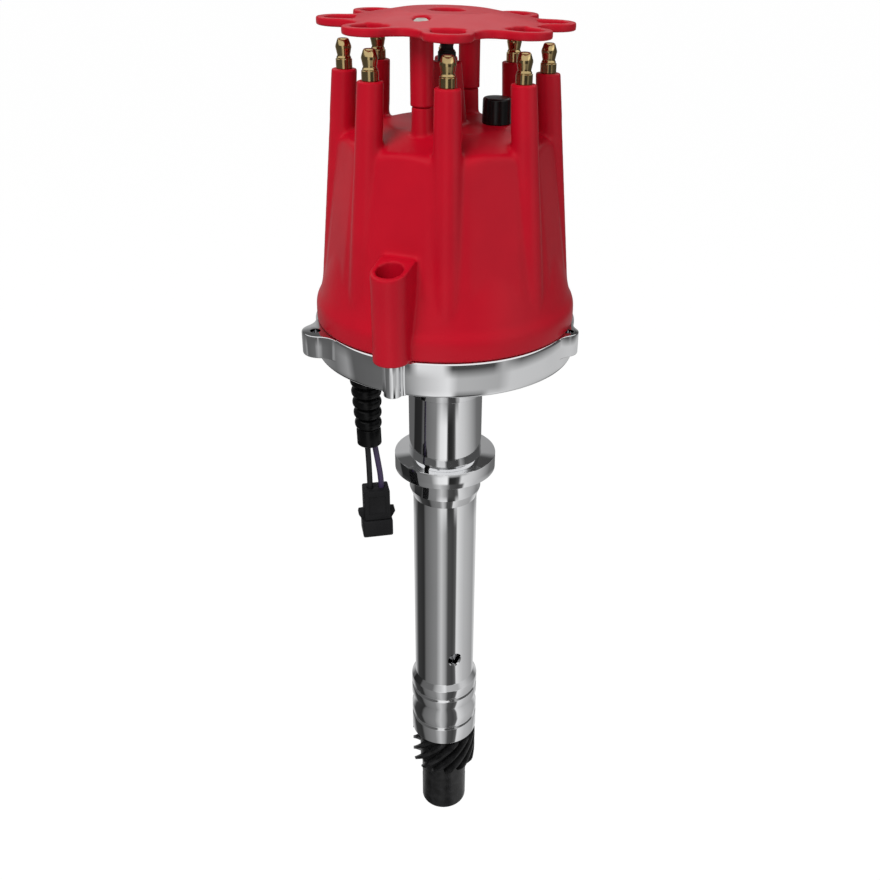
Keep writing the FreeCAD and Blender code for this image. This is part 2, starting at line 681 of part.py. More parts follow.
def ear_outline(azimuth, place, end, blend, ring, buried):
    """An ear's outline: a round end joined to the ring by two concave arcs."""
    reach = ring + blend
    far = end + blend
    swing = arc_cosine((reach * reach + place * place - far * far) / (2 * reach * place))
    end_x, end_y = polar(place, azimuth)
    share = end / far
    corners = []
    for side in (-1, 1):
        direction = azimuth + swing * side
        blend_x, blend_y = polar(reach, direction)
        on_end = (end_x + (blend_x - end_x) * share, end_y + (blend_y - end_y) * share)
        corners.append((polar(buried, direction), polar(ring, direction), on_end))
    (low_root, low_ring, low_end), (high_root, high_ring, high_end) = corners
    return [
        low_root,
        (*low_ring, -blend),
        (*low_end, end),
        (*high_end, -blend),
        high_ring,
        high_root,
    ]


def housing_outline():
    """Outside of the housing, from its lower end up to the rim and back down the axis."""
    land = S.land_radius
    first = -(LAND_START + S.land_bevel)
    waist = first - S.upper_land
    second = waist - S.waist_length - S.land_bevel
    bowl_low = S.bowl_bottom
    low = -S.stem_depth
    corners = [(0, low), (land - S.collar_edge, low), (land, low + S.collar_edge)]
    corners += groove_corners(second)
    corners += [(land, second), (S.waist_radius, waist - S.waist_length)]
    corners += [(S.waist_radius, waist), (land, waist)]
    corners += groove_corners(first)
    corners += [(land, first), (S.stem_radius, -LAND_START)]
    corners += [(S.stem_radius, -(S.pilot_depth + S.pilot_taper)), (S.pilot_radius, -S.pilot_depth)]
    corners += [(S.pilot_radius, 0), (S.collar_radius - S.collar_edge, 0), (S.collar_radius, S.collar_edge)]
    corners += [(S.collar_radius, S.collar_height - S.collar_edge)]
    corners += [(S.collar_radius - S.collar_edge, S.collar_height), (S.neck_radius, S.collar_height)]
    line_low = S.collar_height + S.neck_line_place
    corners += [(S.neck_radius, line_low), (S.neck_radius - S.neck_line, line_low + S.neck_line)]
    corners += [(S.neck_radius, line_low + S.neck_line * 2)]
    corners += [(S.neck_radius, S.shoulder_height), (S.shoulder_radius, S.shoulder_height)]
    corners += [(S.shoulder_radius, bowl_low), (S.bowl_radius - S.bowl_edge, bowl_low, S.bowl_edge)]
    corners += [(S.bowl_radius, bowl_low + S.bowl_edge), (S.bowl_radius, RIM), (0, RIM)]
    return corners


def groove_corners(land_top):
    """The V-shaped groove of a land, listed upwards."""
    top = land_top - S.groove_place
    low = top - S.groove_width
    return [(S.land_radius, low), (S.land_radius - S.groove_depth, (low + top) / 2), (S.land_radius, top)]


def housing_bore():
    """Inside of the housing: bushing seat, relieved bore, bearing seat, ring groove and bowl."""
    relief = S.shaft_radius + S.relief_gap
    bushing_top = S.bushing_length - S.stem_depth
    shelf = S.bearing_radius - S.race_wall
    clip = S.bearing_radius + S.clip_reach
    return [
        (0, -S.stem_depth),
        (BUSHING, -S.stem_depth),
        (BUSHING, bushing_top),
        (relief, bushing_top),
        (relief, BEARING_LOW - S.race_wall),
        (shelf, BEARING_LOW - S.race_wall),
        (shelf, BEARING_LOW),
        (S.bearing_radius, BEARING_LOW),
        (S.bearing_radius, CLIP_LOW),
        (clip, CLIP_LOW),
        (clip, CLIP_TOP),
        (S.bearing_radius, CLIP_TOP),
        (S.bearing_radius, FLOOR),
        (BOWL_INNER, FLOOR),
        (BOWL_INNER, RIM),
        (0, RIM),
    ]


def drilled(body, name, radius, depth, across, back, low):
    """Drill an upright hole in a body, from a low end up by its depth."""
    hole = body.newObject("PartDesign::SubtractiveCylinder", name)
    bind(hole, "Radius", radius)
    bind(hole, "Height", depth)
    return put(hole, across, back, low)


def make_housing():
    """One machined piece: stem, collar, neck and bowl with its ears."""
    body = turned("housing", housing_outline())
    ears = [
        (S.left_ear_azimuth, S.left_ear_reach, S.left_ear_radius, S.ear_blend, S.ear_height),
        (S.right_ear_azimuth, S.right_ear_reach, S.right_ear_radius, S.ear_blend, S.ear_height),
        (S.screw_azimuth, S.lobe_reach, S.lobe_radius, S.lobe_blend, S.bowl_height),
        (S.screw_azimuth + HALF_TURN, S.lobe_reach, S.lobe_radius, S.lobe_blend, S.bowl_height),
    ]
    buried = S.bowl_radius - S.bowl_wall / 2
    for number, (azimuth, reach, end, blend, height) in enumerate(ears, start=1):
        place = S.bowl_radius + reach - end
        outline = ear_outline(azimuth, place, end, blend, S.bowl_radius, buried)
        sketch = sketch_on(body, f"ear_{number}_outline", "XY_Plane", outline, RIM - height)
        pad = body.newObject("PartDesign::Pad", f"ear_{number}")
        pad.Profile = sketch
        bind(pad, "Length", height)
    bore = sketch_on(body, "bore_outline", "XZ_Plane", housing_bore())
    groove = body.newObject("PartDesign::Groove", "bore")
    groove.Profile = bore
    groove.ReferenceAxis = (bore, ["V_Axis"])
    groove.Angle = FULL_TURN
    left_hole = S.bowl_radius + S.left_ear_reach - S.left_hole_inset
    right_hole = S.bowl_radius + S.right_ear_reach - S.right_hole_inset
    holes = [
        ("left_ear_hole", S.ear_hole_radius, S.ear_height, left_hole, S.left_ear_azimuth),
        ("right_ear_hole", S.ear_hole_radius, S.ear_height, right_hole, S.right_ear_azimuth),
        ("first_screw_hole", S.screw_radius, S.screw_grip, SCREW_PLACE, S.screw_azimuth),
        ("second_screw_hole", S.screw_radius, S.screw_grip, SCREW_PLACE, S.screw_azimuth + HALF_TURN),
    ]
    for name, radius, depth, place, azimuth in holes:
        across, back = polar(place, azimuth)
        drilled(body, name, radius, depth, across, back, RIM - depth)
    across, back = polar(BOOT_PLACE, S.boot_azimuth)
    drilled(body, "cable_hole", S.boot_neck, S.bowl_floor, across, back, S.bowl_bottom)
    for number, side in enumerate((-1, 1), start=1):
        across, back = bracket_screw_place(side)
        grip = S.bracket_screw_grip
        drilled(body, f"bracket_hole_{number}", S.bracket_screw_radius, grip, across, back, FLOOR - grip)
    oil = body.newObject("PartDesign::SubtractiveCylinder", "oil_hole")
    bind(oil, "Radius", S.oil_hole_radius)
    bind(oil, "Height", S.stem_radius * 2)
    towards = FreeCAD.Vector(cosine(S.oil_hole_azimuth).value, sine(S.oil_hole_azimuth).value, 0)
    put(oil, 0, 0, S.oil_hole_rise - LAND_START, turn=QUARTER_TURN, axis=towards)
    finish(body, "housing")


def bracket_screw_place(side):
    """X and Y of a bracket screw, beside the pickup."""
    middle = (BRACKET_INNER + BRACKET_OUTER) / 2
    out_x, out_y = sine(S.boot_azimuth), -1 * cosine(S.boot_azimuth)
    shift = S.bracket_screw_side * side
    return middle * out_x - shift * out_y, middle * out_y + shift * out_x


def make_bearings():
    """The lower bushing, and the upper ball bearing under its snap ring."""
    bushing_top = S.bushing_length - S.stem_depth
    outline = tube_outline(BORE, BUSHING - S.seat_gap, -S.stem_depth, bushing_top)
    finish(turned("lower_bushing", outline), "lower_bushing")
    middle = (BEARING_LOW + BEARING_TOP) / 2
    outer_wall = S.bearing_radius - S.race_wall
    inner_wall = S.shaft_radius + S.seat_gap + S.race_wall
    ball_circle = (outer_wall + inner_wall) / 2
    track = S.ball_radius + S.ball_gap
    outer_swing = root(track * track - (outer_wall - ball_circle) * (outer_wall - ball_circle))
    outer_race = [
        (outer_wall, BEARING_LOW),
        (S.bearing_radius - S.seat_gap, BEARING_LOW),
        (S.bearing_radius - S.seat_gap, BEARING_TOP),
        (outer_wall, BEARING_TOP),
        (outer_wall, middle + outer_swing, -track),
        (outer_wall, middle - outer_swing),
    ]
    finish(turned("bearing_outer_race", outer_race), "bearing_outer_race")
    inner_race = [
        (S.shaft_radius + S.seat_gap, BEARING_LOW),
        (inner_wall, BEARING_LOW),
        (inner_wall, middle - outer_swing, -track),
        (inner_wall, middle + outer_swing),
        (inner_wall, BEARING_TOP),
        (S.shaft_radius + S.seat_gap, BEARING_TOP),
    ]
    finish(turned("bearing_inner_race", inner_race), "bearing_inner_race")
    balls = []
    for number in range(int(S.ball_count.value)):
        ball = doc.addObject("Part::Sphere", f"ball_{number + 1}")
        bind(ball, "Radius", S.ball_radius)
        across, back = polar(ball_circle, FULL_TURN / S.ball_count * number)
        balls.append(put(ball, across, back, middle))
    finish(group("bearing_balls", *balls), "bearing_balls")
    outer = S.bearing_radius + S.clip_reach - S.seat_gap
    inner = outer - S.clip_width
    ring = turned("snap_ring_blank", tube_outline(inner, outer, CLIP_LOW, CLIP_TOP - S.seat_gap))
    reach = outer + S.clip_width
    mouth = sector("snap_ring_mouth", reach, S.clip_wire * 2, S.clip_mouth, 0, CLIP_LOW - S.seat_gap)
    finish(cut("bearing_snap_ring", ring, mouth), "bearing_snap_ring")


def make_shaft():
    """The drive shaft with its upper stub, riveted top and oil pump slot."""
    outline = [
        (0, -SHAFT_END),
        (S.shaft_radius, -SHAFT_END),
        (S.shaft_radius, SHAFT_SHOULDER),
        (S.stub_radius, SHAFT_SHOULDER),
        (S.stub_radius, CAM_LOW),
        (S.rivet_radius, CAM_LOW),
        (S.rivet_radius, CAM_TOP + S.seat_gap * 2),
        (0, CAM_TOP + S.seat_gap * 2),
    ]
    rod = turned("shaft_rod", outline)
    reach = S.shaft_radius + S.drive_slot
    slot = radial_box("drive_slot", -reach, reach, S.drive_slot / 2, -SHAFT_END, S.drive_slot_depth, 0)
    finish(cut("drive_shaft", rod, slot, pin_hole("shaft_pin_hole")), "drive_shaft")
    inner = S.stub_radius + S.running_gap
    outer = S.stub_radius + S.sleeve_wall
    low = SHAFT_SHOULDER + S.washer_gap
    upper = turned("sleeve_washer", tube_outline(inner, outer, low, low + S.washer_height))
    finish(upper, "sleeve_thrust_washer")
    low = GEAR_TOP + S.washer_gap
    washer = turned("gear_washer", tube_outline(BORE, S.washer_radius, low, low + S.washer_height))
    finish(washer, "gear_thrust_washer")


def pin_hole(name):
    """The cross hole for the gear's roll pin, running along X."""
    reach = S.hub_radius + S.pin_radius
    hole = doc.addObject("Part::Cylinder", name)
    bind(hole, "Radius", S.pin_radius + S.seat_gap)
    bind(hole, "Height", reach * 2)
    return put(hole, -reach, 0, -PIN_DEPTH, turn=QUARTER_TURN, axis=FreeCAD.Vector(0, 1, 0))


def tooth_section(tip, root, teeth, height):
    """One cross-section of the gear: flanks as lines, tips and roots as arcs."""
    tip_share = S.tooth_tip_share.value
    root_share = S.tooth_root_share.value
    pitch = 2 * math.pi / teeth

    def at(radius, angle):
        return FreeCAD.Vector(radius * math.cos(angle), radius * math.sin(angle), height)

    edges = []
    for tooth in range(teeth):
        middle = tooth * pitch
        low_root = at(root, middle - root_share * pitch)
        low_tip = at(tip, middle - tip_share * pitch)
        high_tip = at(tip, middle + tip_share * pitch)
        high_root = at(root, middle + root_share * pitch)
        next_root = at(root, middle + (1 - root_share) * pitch)
        edges.append(Part.LineSegment(low_root, low_tip).toShape())
        edges.append(Part.Arc(low_tip, at(tip, middle), high_tip).toShape())
        edges.append(Part.LineSegment(high_tip, high_root).toShape())
        edges.append(Part.Arc(high_root, at(root, middle + pitch / 2), next_root).toShape())
    return Part.Wire(edges)


def make_gear():
    """The helical drive gear with its long hub, and the roll pin that holds it."""
    tip = S.gear_radius.value
    root_radius = S.gear_root.value
    face = S.gear_face.value
    low = GEAR_TOP.value - face
    mean = (tip + root_radius) / 2
    pitch = 2 * math.pi * mean / math.tan(math.radians(S.gear_helix.value))
    axis = Part.makePolygon([FreeCAD.Vector(0, 0, low), FreeCAD.Vector(0, 0, low + face)])
    helix = Part.makeHelix(pitch, face, tip)
    helix.translate(FreeCAD.Vector(0, 0, low))
    sweep = Part.BRepOffsetAPI.MakePipeShell(axis)
    sweep.setAuxiliarySpine(helix, True, False)
    sweep.add(tooth_section(tip, root_radius, int(S.gear_teeth.value), low))
    sweep.build()
    sweep.makeSolid()
    teeth = doc.addObject("Part::Feature", "gear_teeth")
    teeth.Shape = sweep.shape()
    teeth.Placement = FreeCAD.Placement()
    bottom = GEAR_TOP - S.gear_face
    bevel = S.gear_bevel
    blank_outline = [
        (0, bottom),
        (S.gear_radius - bevel, bottom),
        (S.gear_radius + S.seat_gap, bottom + bevel),
        (S.gear_radius + S.seat_gap, GEAR_TOP - bevel),
        (S.gear_radius - bevel, GEAR_TOP),
        (0, GEAR_TOP),
    ]
    crown = common("gear_crown", teeth, turned("gear_blank", blank_outline))
    hub_outline = [
        (0, -HUB_END),
        (S.hub_radius - S.hub_edge, -HUB_END, S.hub_edge),
        (S.hub_radius, -HUB_END + S.hub_edge),
        (S.hub_radius, bottom + bevel),
        (0, bottom + bevel),
    ]
    whole = fuse("gear_solid", crown, turned("gear_hub", hub_outline))
    bore = cylinder("gear_bore", S.shaft_radius + S.seat_gap, HUB_END, 0, 0, -HUB_END)
    socket = cylinder("pump_socket", S.socket_radius, HUB_END - SHAFT_END, 0, 0, -HUB_END)
    finish(cut("drive_gear", whole, bore, socket, pin_hole("gear_pin_hole")), "drive_gear")
    half = S.hub_radius - S.hub_edge
    pin = turned("roll_pin", tube_outline(S.pin_radius - S.pin_wall, S.pin_radius, -half, half))
    put(pin, 0, 0, -PIN_DEPTH, turn=QUARTER_TURN, axis=FreeCAD.Vector(0, 1, 0))
    finish(pin, "gear_roll_pin")


def screw_places():
    return [(SCREW_PLACE, S.screw_azimuth), (SCREW_PLACE, S.screw_azimuth + HALF_TURN)]


def tower_places(radius):
    count = int(S.tower_count.value)
    return [(radius, S.first_tower + TOWER_STEP * number) for number in range(count)]


def post_places():
    return [(S.post_place, S.post_azimuth), (S.post_place, S.post_azimuth + HALF_TURN)]


def lofted(name, sections):
    made = doc.addObject("Part::Loft", name)
    made.Sections = sections
    made.Solid = True
    made.Ruled = True
    return made


def octagon(name, flat_distance, up):
    """A level octagon, its corners towards the towers."""
    made = doc.addObject("Part::RegularPolygon", name)
    made.Polygon = int(S.tower_count.value)
    bind(made, "Circumradius", flat_distance / cosine(TOWER_STEP / 2))
    return put(made, 0, 0, up, turn=S.first_tower - QUARTER_TURN)


def ring_at(name, radius, across, back, up):
    made = doc.addObject("Part::Circle", name)
    bind(made, "Radius", radius)
    return put(made, across, back, up)


def cap_body():
    """The cap's facets, crowned deck, skirt and flange, without its towers."""
    seat = RIM + S.flange_height
    lean = S.facet_lean / (S.deck_height - S.facet_foot)
    low_flat = FACET_LOW + (S.facet_foot - S.flange_height) * lean
    high_flat = FACET_HIGH - (CROWN - DECK) * lean
    flats = lofted("flats", [octagon("flats_low", low_flat, seat), octagon("flats_high", high_flat, CROWN)])
    limit = [
        (0, seat),
        (low_flat + S.facet_corner, seat),
        (FACET_HIGH + S.facet_corner, DECK, S.deck_bend),
        (FACET_HIGH - S.deck_round, DECK + S.deck_slope),
        (S.post_place, CROWN),
        (0, CROWN),
    ]
    skirt = [
        (0, RIM),
        (FLANGE, RIM),
        (FLANGE, seat),
        (FLANGE - S.skirt_inset, seat + S.flange_bevel),
        (FACET_LOW, RIM + S.facet_foot),
        (0, RIM + S.facet_foot),
    ]
    return [common("facets", flats, turned("facet_limit", limit)), turned("cap_skirt", skirt)]


def tower(number, azimuth):
    """One tower: an upright ridge that leans in from the flange to its round top."""
    foot_x, foot_y = polar(TOWER_FOOT_PLACE, azimuth)
    top_x, top_y = polar(TOWER_PLACE, azimuth)
    foot = ring_at(f"tower_foot_{number}", S.tower_foot_radius, foot_x, foot_y, RIM + S.tower_foot)
    top = ring_at(f"tower_top_{number}", S.tower_radius, top_x, top_y, TOWER_TOP)
    return lofted(f"tower_{number}", [foot, top])


def screw_boss(number, azimuth):
    """A cap screw's boss: half-round in front, sloped on top, buried in the cap behind."""
    root_place = BOSS_PLACE - S.boss_root
    front = BOSS_PLACE + S.boss_radius
    outline = [
        (root_place, RIM),
        (front, RIM),
        (front, RIM + S.boss_front_height),
        (BOSS_PLACE - S.boss_slope, RIM + S.boss_back_height),
        (root_place, RIM + S.boss_back_height),
    ]
    body = doc.addObject("PartDesign::Body", f"boss_side_{number}")
    sketch = sketch_on(body, f"boss_side_outline_{number}", "XZ_Plane", outline)
    pad = body.newObject("PartDesign::Pad", f"boss_side_pad_{number}")
    pad.Profile = sketch
    pad.Midplane = True
    bind(pad, "Length", S.boss_radius * 2)
    put(body, 0, 0, 0, turn=azimuth - QUARTER_TURN)
    across, back = polar(BOSS_PLACE, azimuth)
    height = S.boss_back_height
    nose = cylinder(f"boss_front_{number}", S.boss_radius, height, across, back, RIM)
    root_box = radial_box(f"boss_root_{number}", root_place, BOSS_PLACE, S.boss_radius, RIM, height, azimuth)
    return common(f"boss_{number}", body, fuse(f"boss_plan_{number}", nose, root_box))


def cap_cavity():
    """The hollow of the cap, open below through the centring lip."""
    low = RIM - S.lip_depth
    mouth = LIP - S.bowl_wall / 2
    high = FACET_HIGH - S.cap_wall
    outline = [(0, low), (mouth, low), (high, ROOF), (S.post_place, CEILING), (0, CEILING)]
    return turned("cap_cavity", outline)


def make_cap():
    """The moulded cap: flange, facets, eight towers, coil tower, posts and screw bosses."""
    pieces = cap_body()
    for number, (_, azimuth) in enumerate(tower_places(TOWER_PLACE), start=1):
        pieces.append(tower(number, azimuth))
    height = MIDDLE_TOP - DECK
    pieces.append(cone("coil_tower", S.middle_tower_foot, S.middle_tower_radius, height, 0, 0, DECK))
    height = SPLIT - DECK
    for number, (radius, azimuth) in enumerate(post_places(), start=1):
        across, back = polar(radius, azimuth)
        pieces.append(cone(f"post_{number}", S.post_foot_radius, S.post_radius, height, across, back, DECK))
    for number, (_, azimuth) in enumerate(screw_places(), start=1):
        pieces.append(screw_boss(number, azimuth))
    vent_x, vent_y = polar(S.vent_place, S.vent_azimuth)
    seat_radius = S.vent_radius + S.vent_seat_step
    pieces.append(cylinder("vent_seat", seat_radius, vent_level() - DECK, vent_x, vent_y, DECK))
    pieces.append(turned("cap_lip", rod_outline(LIP, RIM - S.lip_depth, RIM)))
    shell = cut("cap_shell", fuse("cap_outside", *pieces), cap_cavity())
    boss_low = BRUSH_LOW + S.brush_radius
    bosses = [cylinder("brush_boss", S.brush_boss, CEILING - boss_low, 0, 0, boss_low)]
    insert_way = S.insert_radius + S.seat_gap
    holes = [
        cylinder("brush_hole", S.brush_radius + S.seat_gap, BRUSH_END - BRUSH_LOW, 0, 0, BRUSH_LOW),
        cylinder("coil_insert_hole", insert_way, MIDDLE_TOP - BRUSH_END, 0, 0, BRUSH_END),
        cylinder("vent_hole", S.vent_stem + S.seat_gap, vent_level() - ROOF, vent_x, vent_y, ROOF),
    ]
    low = INSERT_BOSS_END
    boss_height = S.insert_boss_depth + S.deck_slope
    hole_depth = TOWER_TOP - INSERT_END
    for number, (radius, azimuth) in enumerate(tower_places(TOWER_PLACE), start=1):
        across, back = polar(radius, azimuth)
        bosses.append(cylinder(f"insert_boss_{number}", S.insert_boss, boss_height, across, back, low))
        holes.append(cylinder(f"insert_hole_{number}", insert_way, hole_depth, across, back, INSERT_END))
    shelf = RIM + S.screw_shelf
    pocket = S.boss_back_height - S.screw_shelf
    for number, (radius, azimuth) in enumerate(screw_places(), start=1):
        across, back = polar(radius, azimuth)
        clear = S.screw_radius + S.screw_clearance
        holes.append(cylinder(f"screw_way_{number}", clear, S.screw_shelf, across, back, RIM))
        holes.append(cylinder(f"head_pocket_{number}", S.counterbore_radius, pocket, across, back, shelf))
    grip = S.retainer_screw_grip
    screw_way = S.retainer_screw_radius + S.seat_gap
    for number, (radius, azimuth) in enumerate(post_places(), start=1):
        across, back = polar(radius, azimuth)
        holes.append(cylinder(f"post_hole_{number}", screw_way, grip, across, back, SPLIT - grip))
    finish(cut("cap", fuse("cap_with_bosses", shell, *bosses), *holes), "cap")


def vent_level():
    """Height of the vent plug's seat."""
    return CROWN + S.vent_seat


def terminal_outline(collar, neck, bulb, tip, height, foot, seat):
    """A push-on terminal: insert, collar, neck and a bulb that narrows to its top."""
    top = seat + height
    ring = seat + S.collar_ring_height
    band_high = top - S.bulb_drop
    narrowing = bulb - tip
    bend = (narrowing * narrowing + S.bulb_drop * S.bulb_drop) / (narrowing * 2)
    return [
        (0, foot),
        (S.insert_radius, foot),
        (S.insert_radius, seat),
        (collar, seat),
        (collar, ring),
        (neck, ring),
        (neck, ring + S.terminal_neck_length),
        (bulb, band_high - S.bulb_band),
        (bulb, band_high, bend),
        (tip, top),
        (0, top),
    ]


def make_terminals():
    """Spark inserts, the coil terminal, the carbon brush and its spring."""
    spark_sizes = (S.collar_ring_radius, S.terminal_neck, S.terminal_bulb, S.terminal_tip, S.terminal_height)
    insert = turned("spark_terminal", terminal_outline(*spark_sizes, INSERT_END, TOWER_TOP))
    finish(copies("spark_terminals", insert, tower_places(TOWER_PLACE)), "spark_terminals")
    coil_sizes = (S.coil_terminal_radius, S.coil_terminal_neck, S.coil_terminal_bulb, S.coil_terminal_tip)
    coil = terminal_outline(*coil_sizes, S.coil_terminal_height, BRUSH_END, MIDDLE_TOP)
    finish(turned("coil_terminal", coil), "coil_terminal")
    finish(turned("carbon_brush", rod_outline(S.brush_radius, BRUSH_LOW, BRUSH_TOP)), "carbon_brush")
    radius = S.brush_radius - S.spring_wire / 2
    spring = coil_body("brush_spring", radius, S.brush_spring_length, S.spring_turns)
    put(spring, 0, 0, BRUSH_TOP)
    finish(spring, "brush_spring")


def coil_body(name, radius, length, turns):
    """A close-wound coil spring standing on its own XY plane, its turns drawn as rings."""
    count = int(turns.value)
    pitch = length / turns
    inner = radius - S.spring_wire * 2
    groove = radius - pitch / 2
    bulge = pitch / 2 + S.seat_gap
    outline = [(inner, 0)]
    for number in range(count):
        outline.append((groove, pitch * number, bulge))
    outline += [(groove, length), (inner, length)]
    return turned(name, outline)


def make_screws():
    """The two long cap screws and the two retainer screws."""
    shelf = RIM + S.screw_shelf
    outline = [
        (0, RIM - S.screw_grip + S.screw_end_gap),
        (S.screw_radius - S.seat_gap, RIM - S.screw_grip + S.screw_end_gap),
        (S.screw_radius - S.seat_gap, shelf),
        (S.screw_head_radius, shelf),
        (S.screw_head_radius, shelf + S.screw_head_height - S.screw_dome),
        (S.screw_radius, shelf + S.screw_head_height),
        (0, shelf + S.screw_head_height),
    ]
    screw = turned("cap_screw", outline)
    finish(copies("cap_screws", screw, screw_places()), "cap_screws")
    seat = retainer_seat()
    low = SPLIT - S.retainer_screw_grip + S.screw_end_gap
    outline = [
        (0, low),
        (S.retainer_screw_radius, low),
        (S.retainer_screw_radius, seat),
        (S.retainer_head_radius, seat),
        (S.retainer_head_radius, seat + S.retainer_head_height - S.retainer_dome),
        (S.retainer_screw_radius, seat + S.retainer_head_height),
        (0, seat + S.retainer_head_height),
    ]
    screw = turned("retainer_screw", outline)
    finish(copies("retainer_screws", screw, post_places()), "retainer_screws")


def make_vent():
    """The vent plug, a capped breather in the cap's deck."""
    seat = vent_level()
    top = seat + S.vent_height
    low = CEILING - S.vent_show
    outline = [
        (0, low),
        (S.vent_stem, low),
        (S.vent_stem, seat),
        (S.vent_radius, seat),
        (S.vent_radius, top - S.vent_edge, S.vent_edge),
        (S.vent_radius - S.vent_edge, top),
        (0, top),
    ]
    plug = turned("vent_plug", outline)
    finish(put_polar(plug, S.vent_place, S.vent_azimuth), "vent_plug")


def retainer_seat():
    """Height of the retainer screws' seats in the crown."""
    return RIM + S.retainer_plane + S.retainer_crown - S.retainer_plate


def retainer_plan():
    """The retainer from above: eight round loops with a scallop between each two."""
    half = TOWER_STEP / 2
    side = LOOP_PLACE * sine(half)
    reach = root(side * side + S.scallop_rise * S.scallop_rise)
    scallop_radius = reach - S.loop_radius
    scallop_place = LOOP_PLACE * cosine(half) + S.scallop_rise
    share = S.loop_radius / reach
    corners = []
    for number in range(int(S.tower_count.value)):
        azimuth = S.first_tower + TOWER_STEP * number
        loop_x, loop_y = polar(LOOP_PLACE, azimuth)
        for direction in (-1, 1):
            other_x, other_y = polar(scallop_place, azimuth + half * direction)
            point = (loop_x + (other_x - loop_x) * share, loop_y + (other_y - loop_y) * share)
            bend = S.loop_radius if direction < 0 else -scallop_radius
            corners.append((*point, bend))
    return corners


def make_retainer():
    """The wire retainer: a crowned plate with a loop over each tower and two posts."""
    plane = RIM + S.retainer_plane
    crown = plane + S.retainer_crown
    plate = S.retainer_plate
    far = LOOP_PLACE + S.loop_radius + S.retainer_plate
    dome = turned(
        "retainer_dome",
        [
            (0, crown - plate),
            (S.crown_radius, crown - plate),
            (S.crown_foot, plane - plate),
            (far, plane - plate),
            (far, plane),
            (S.crown_foot, plane),
            (S.crown_radius, crown),
            (0, crown),
        ],
    )
    thickness = S.retainer_plate + S.retainer_crown
    plan = padded("retainer_plan", retainer_plan(), plane - plate, thickness)
    posts = []
    holes = [cylinder("retainer_middle", S.retainer_hole, thickness, 0, 0, plane - plate)]
    seat = retainer_seat()
    for number, (radius, azimuth) in enumerate(post_places(), start=1):
        across, back = polar(radius, azimuth)
        height = seat - SPLIT
        posts.append(cylinder(f"upper_post_{number}", S.upper_post_radius, height, across, back, SPLIT))
        clear = S.retainer_screw_radius + S.seat_gap
        holes.append(cylinder(f"retainer_way_{number}", clear, height, across, back, SPLIT))
        pocket = S.retainer_head_radius + S.seat_gap
        holes.append(cylinder(f"retainer_pocket_{number}", pocket, thickness, across, back, seat))
    hole_radius = S.loop_radius - S.loop_rim
    low = plane - plate
    neck = LOOP_PLACE - S.loop_neck
    for number, (radius, azimuth) in enumerate(tower_places(LOOP_PLACE), start=1):
        across, back = polar(radius, azimuth)
        holes.append(cylinder(f"loop_hole_{number}", hole_radius, thickness, across, back, low))
        holes.append(radial_box(f"loop_neck_{number}", neck, radius, hole_radius, low, thickness, azimuth))
    disc = common("retainer_disc", dome, plan)
    finish(cut("wire_retainer", fuse("retainer_solid", disc, *posts), *holes), "wire_retainer")


def slot_plate(name, radius, half_width, low, height, azimuth):
    """A flat bar through the axis with round ends."""
    bar = radial_box(name + "_bar", -1 * radius, radius, half_width, low, height, azimuth)
    ends = []
    for number, direction in enumerate((azimuth, azimuth + HALF_TURN), start=1):
        across, back = polar(radius, direction)
        ends.append(cylinder(f"{name}_end_{number}", half_width, height, across, back, low))
    return [bar, *ends]


def make_sleeve():
    """The advance sleeve, its weight base with pivots and stands, and the reluctor."""
    inner = S.stub_radius + S.running_gap
    outer = S.stub_radius + S.sleeve_wall
    outline = [
        (inner, SLEEVE_LOW),
        (outer, SLEEVE_LOW),
        (outer, S.sleeve_top),
        (S.sleeve_spigot, S.sleeve_top),
        (S.sleeve_spigot, BASE_TOP),
        (inner, BASE_TOP),
    ]
    finish(turned("advance_sleeve", outline), "advance_sleeve")
    low = S.sleeve_top
    pieces = [cylinder("base_middle", S.base_hub, S.base_plate, 0, 0, low)]
    pieces += slot_plate("base_pivot", S.pivot_place, S.pivot_pad, low, S.base_plate, 0)
    pieces += slot_plate("base_stand", S.stand_place, S.pivot_pad, low, S.base_plate, -S.stand_angle)
    holes = [cylinder("base_bore", S.sleeve_spigot + S.seat_gap, S.base_plate, 0, 0, low)]
    stop = PIVOT_ANGLES[0] - S.stop_angle
    slot = S.stop_bushing_radius + S.moving_gap
    for number, azimuth in enumerate((stop, stop + S.advance_range), start=1):
        across, back = polar(S.stop_place, azimuth)
        holes.append(cylinder(f"stop_slot_end_{number}", slot, S.base_plate, across, back, low))
    band_outer = sector("stop_band_outer", S.stop_place + slot, S.base_plate, S.advance_range, stop, low)
    band_inner = cylinder("stop_band_inner", S.stop_place - slot, S.base_plate, 0, 0, low)
    holes.append(cut("stop_band", band_outer, band_inner))
    pivot_way = S.pivot_radius + S.seat_gap
    for number, azimuth in enumerate(PIVOT_ANGLES, start=1):
        across, back = polar(S.pivot_place, azimuth)
        holes.append(cylinder(f"pivot_hole_{number}", pivot_way, S.base_plate, across, back, low))
    finish(cut("weight_base", fuse("base_solid", *pieces), *holes), "weight_base")
    pin_top = SPRING_HEIGHT + S.spring_radius
    pin = turned("pivot_pin", rod_outline(S.pivot_radius, low, pin_top))
    places = [(S.pivot_place, azimuth) for azimuth in PIVOT_ANGLES]
    finish(copies("weight_pivots", pin, places), "weight_pivots")
    screw_way = S.rotor_screw_radius + S.seat_gap
    stand = turned("rotor_stand", tube_outline(screw_way, S.stand_radius, BASE_TOP, STAND_TOP))
    finish(copies("rotor_stands", stand, stand_places()), "rotor_stands")
    make_reluctor(outer + S.seat_gap)


def stand_places():
    return [(S.stand_place, azimuth - S.stand_angle) for azimuth in PIVOT_ANGLES]


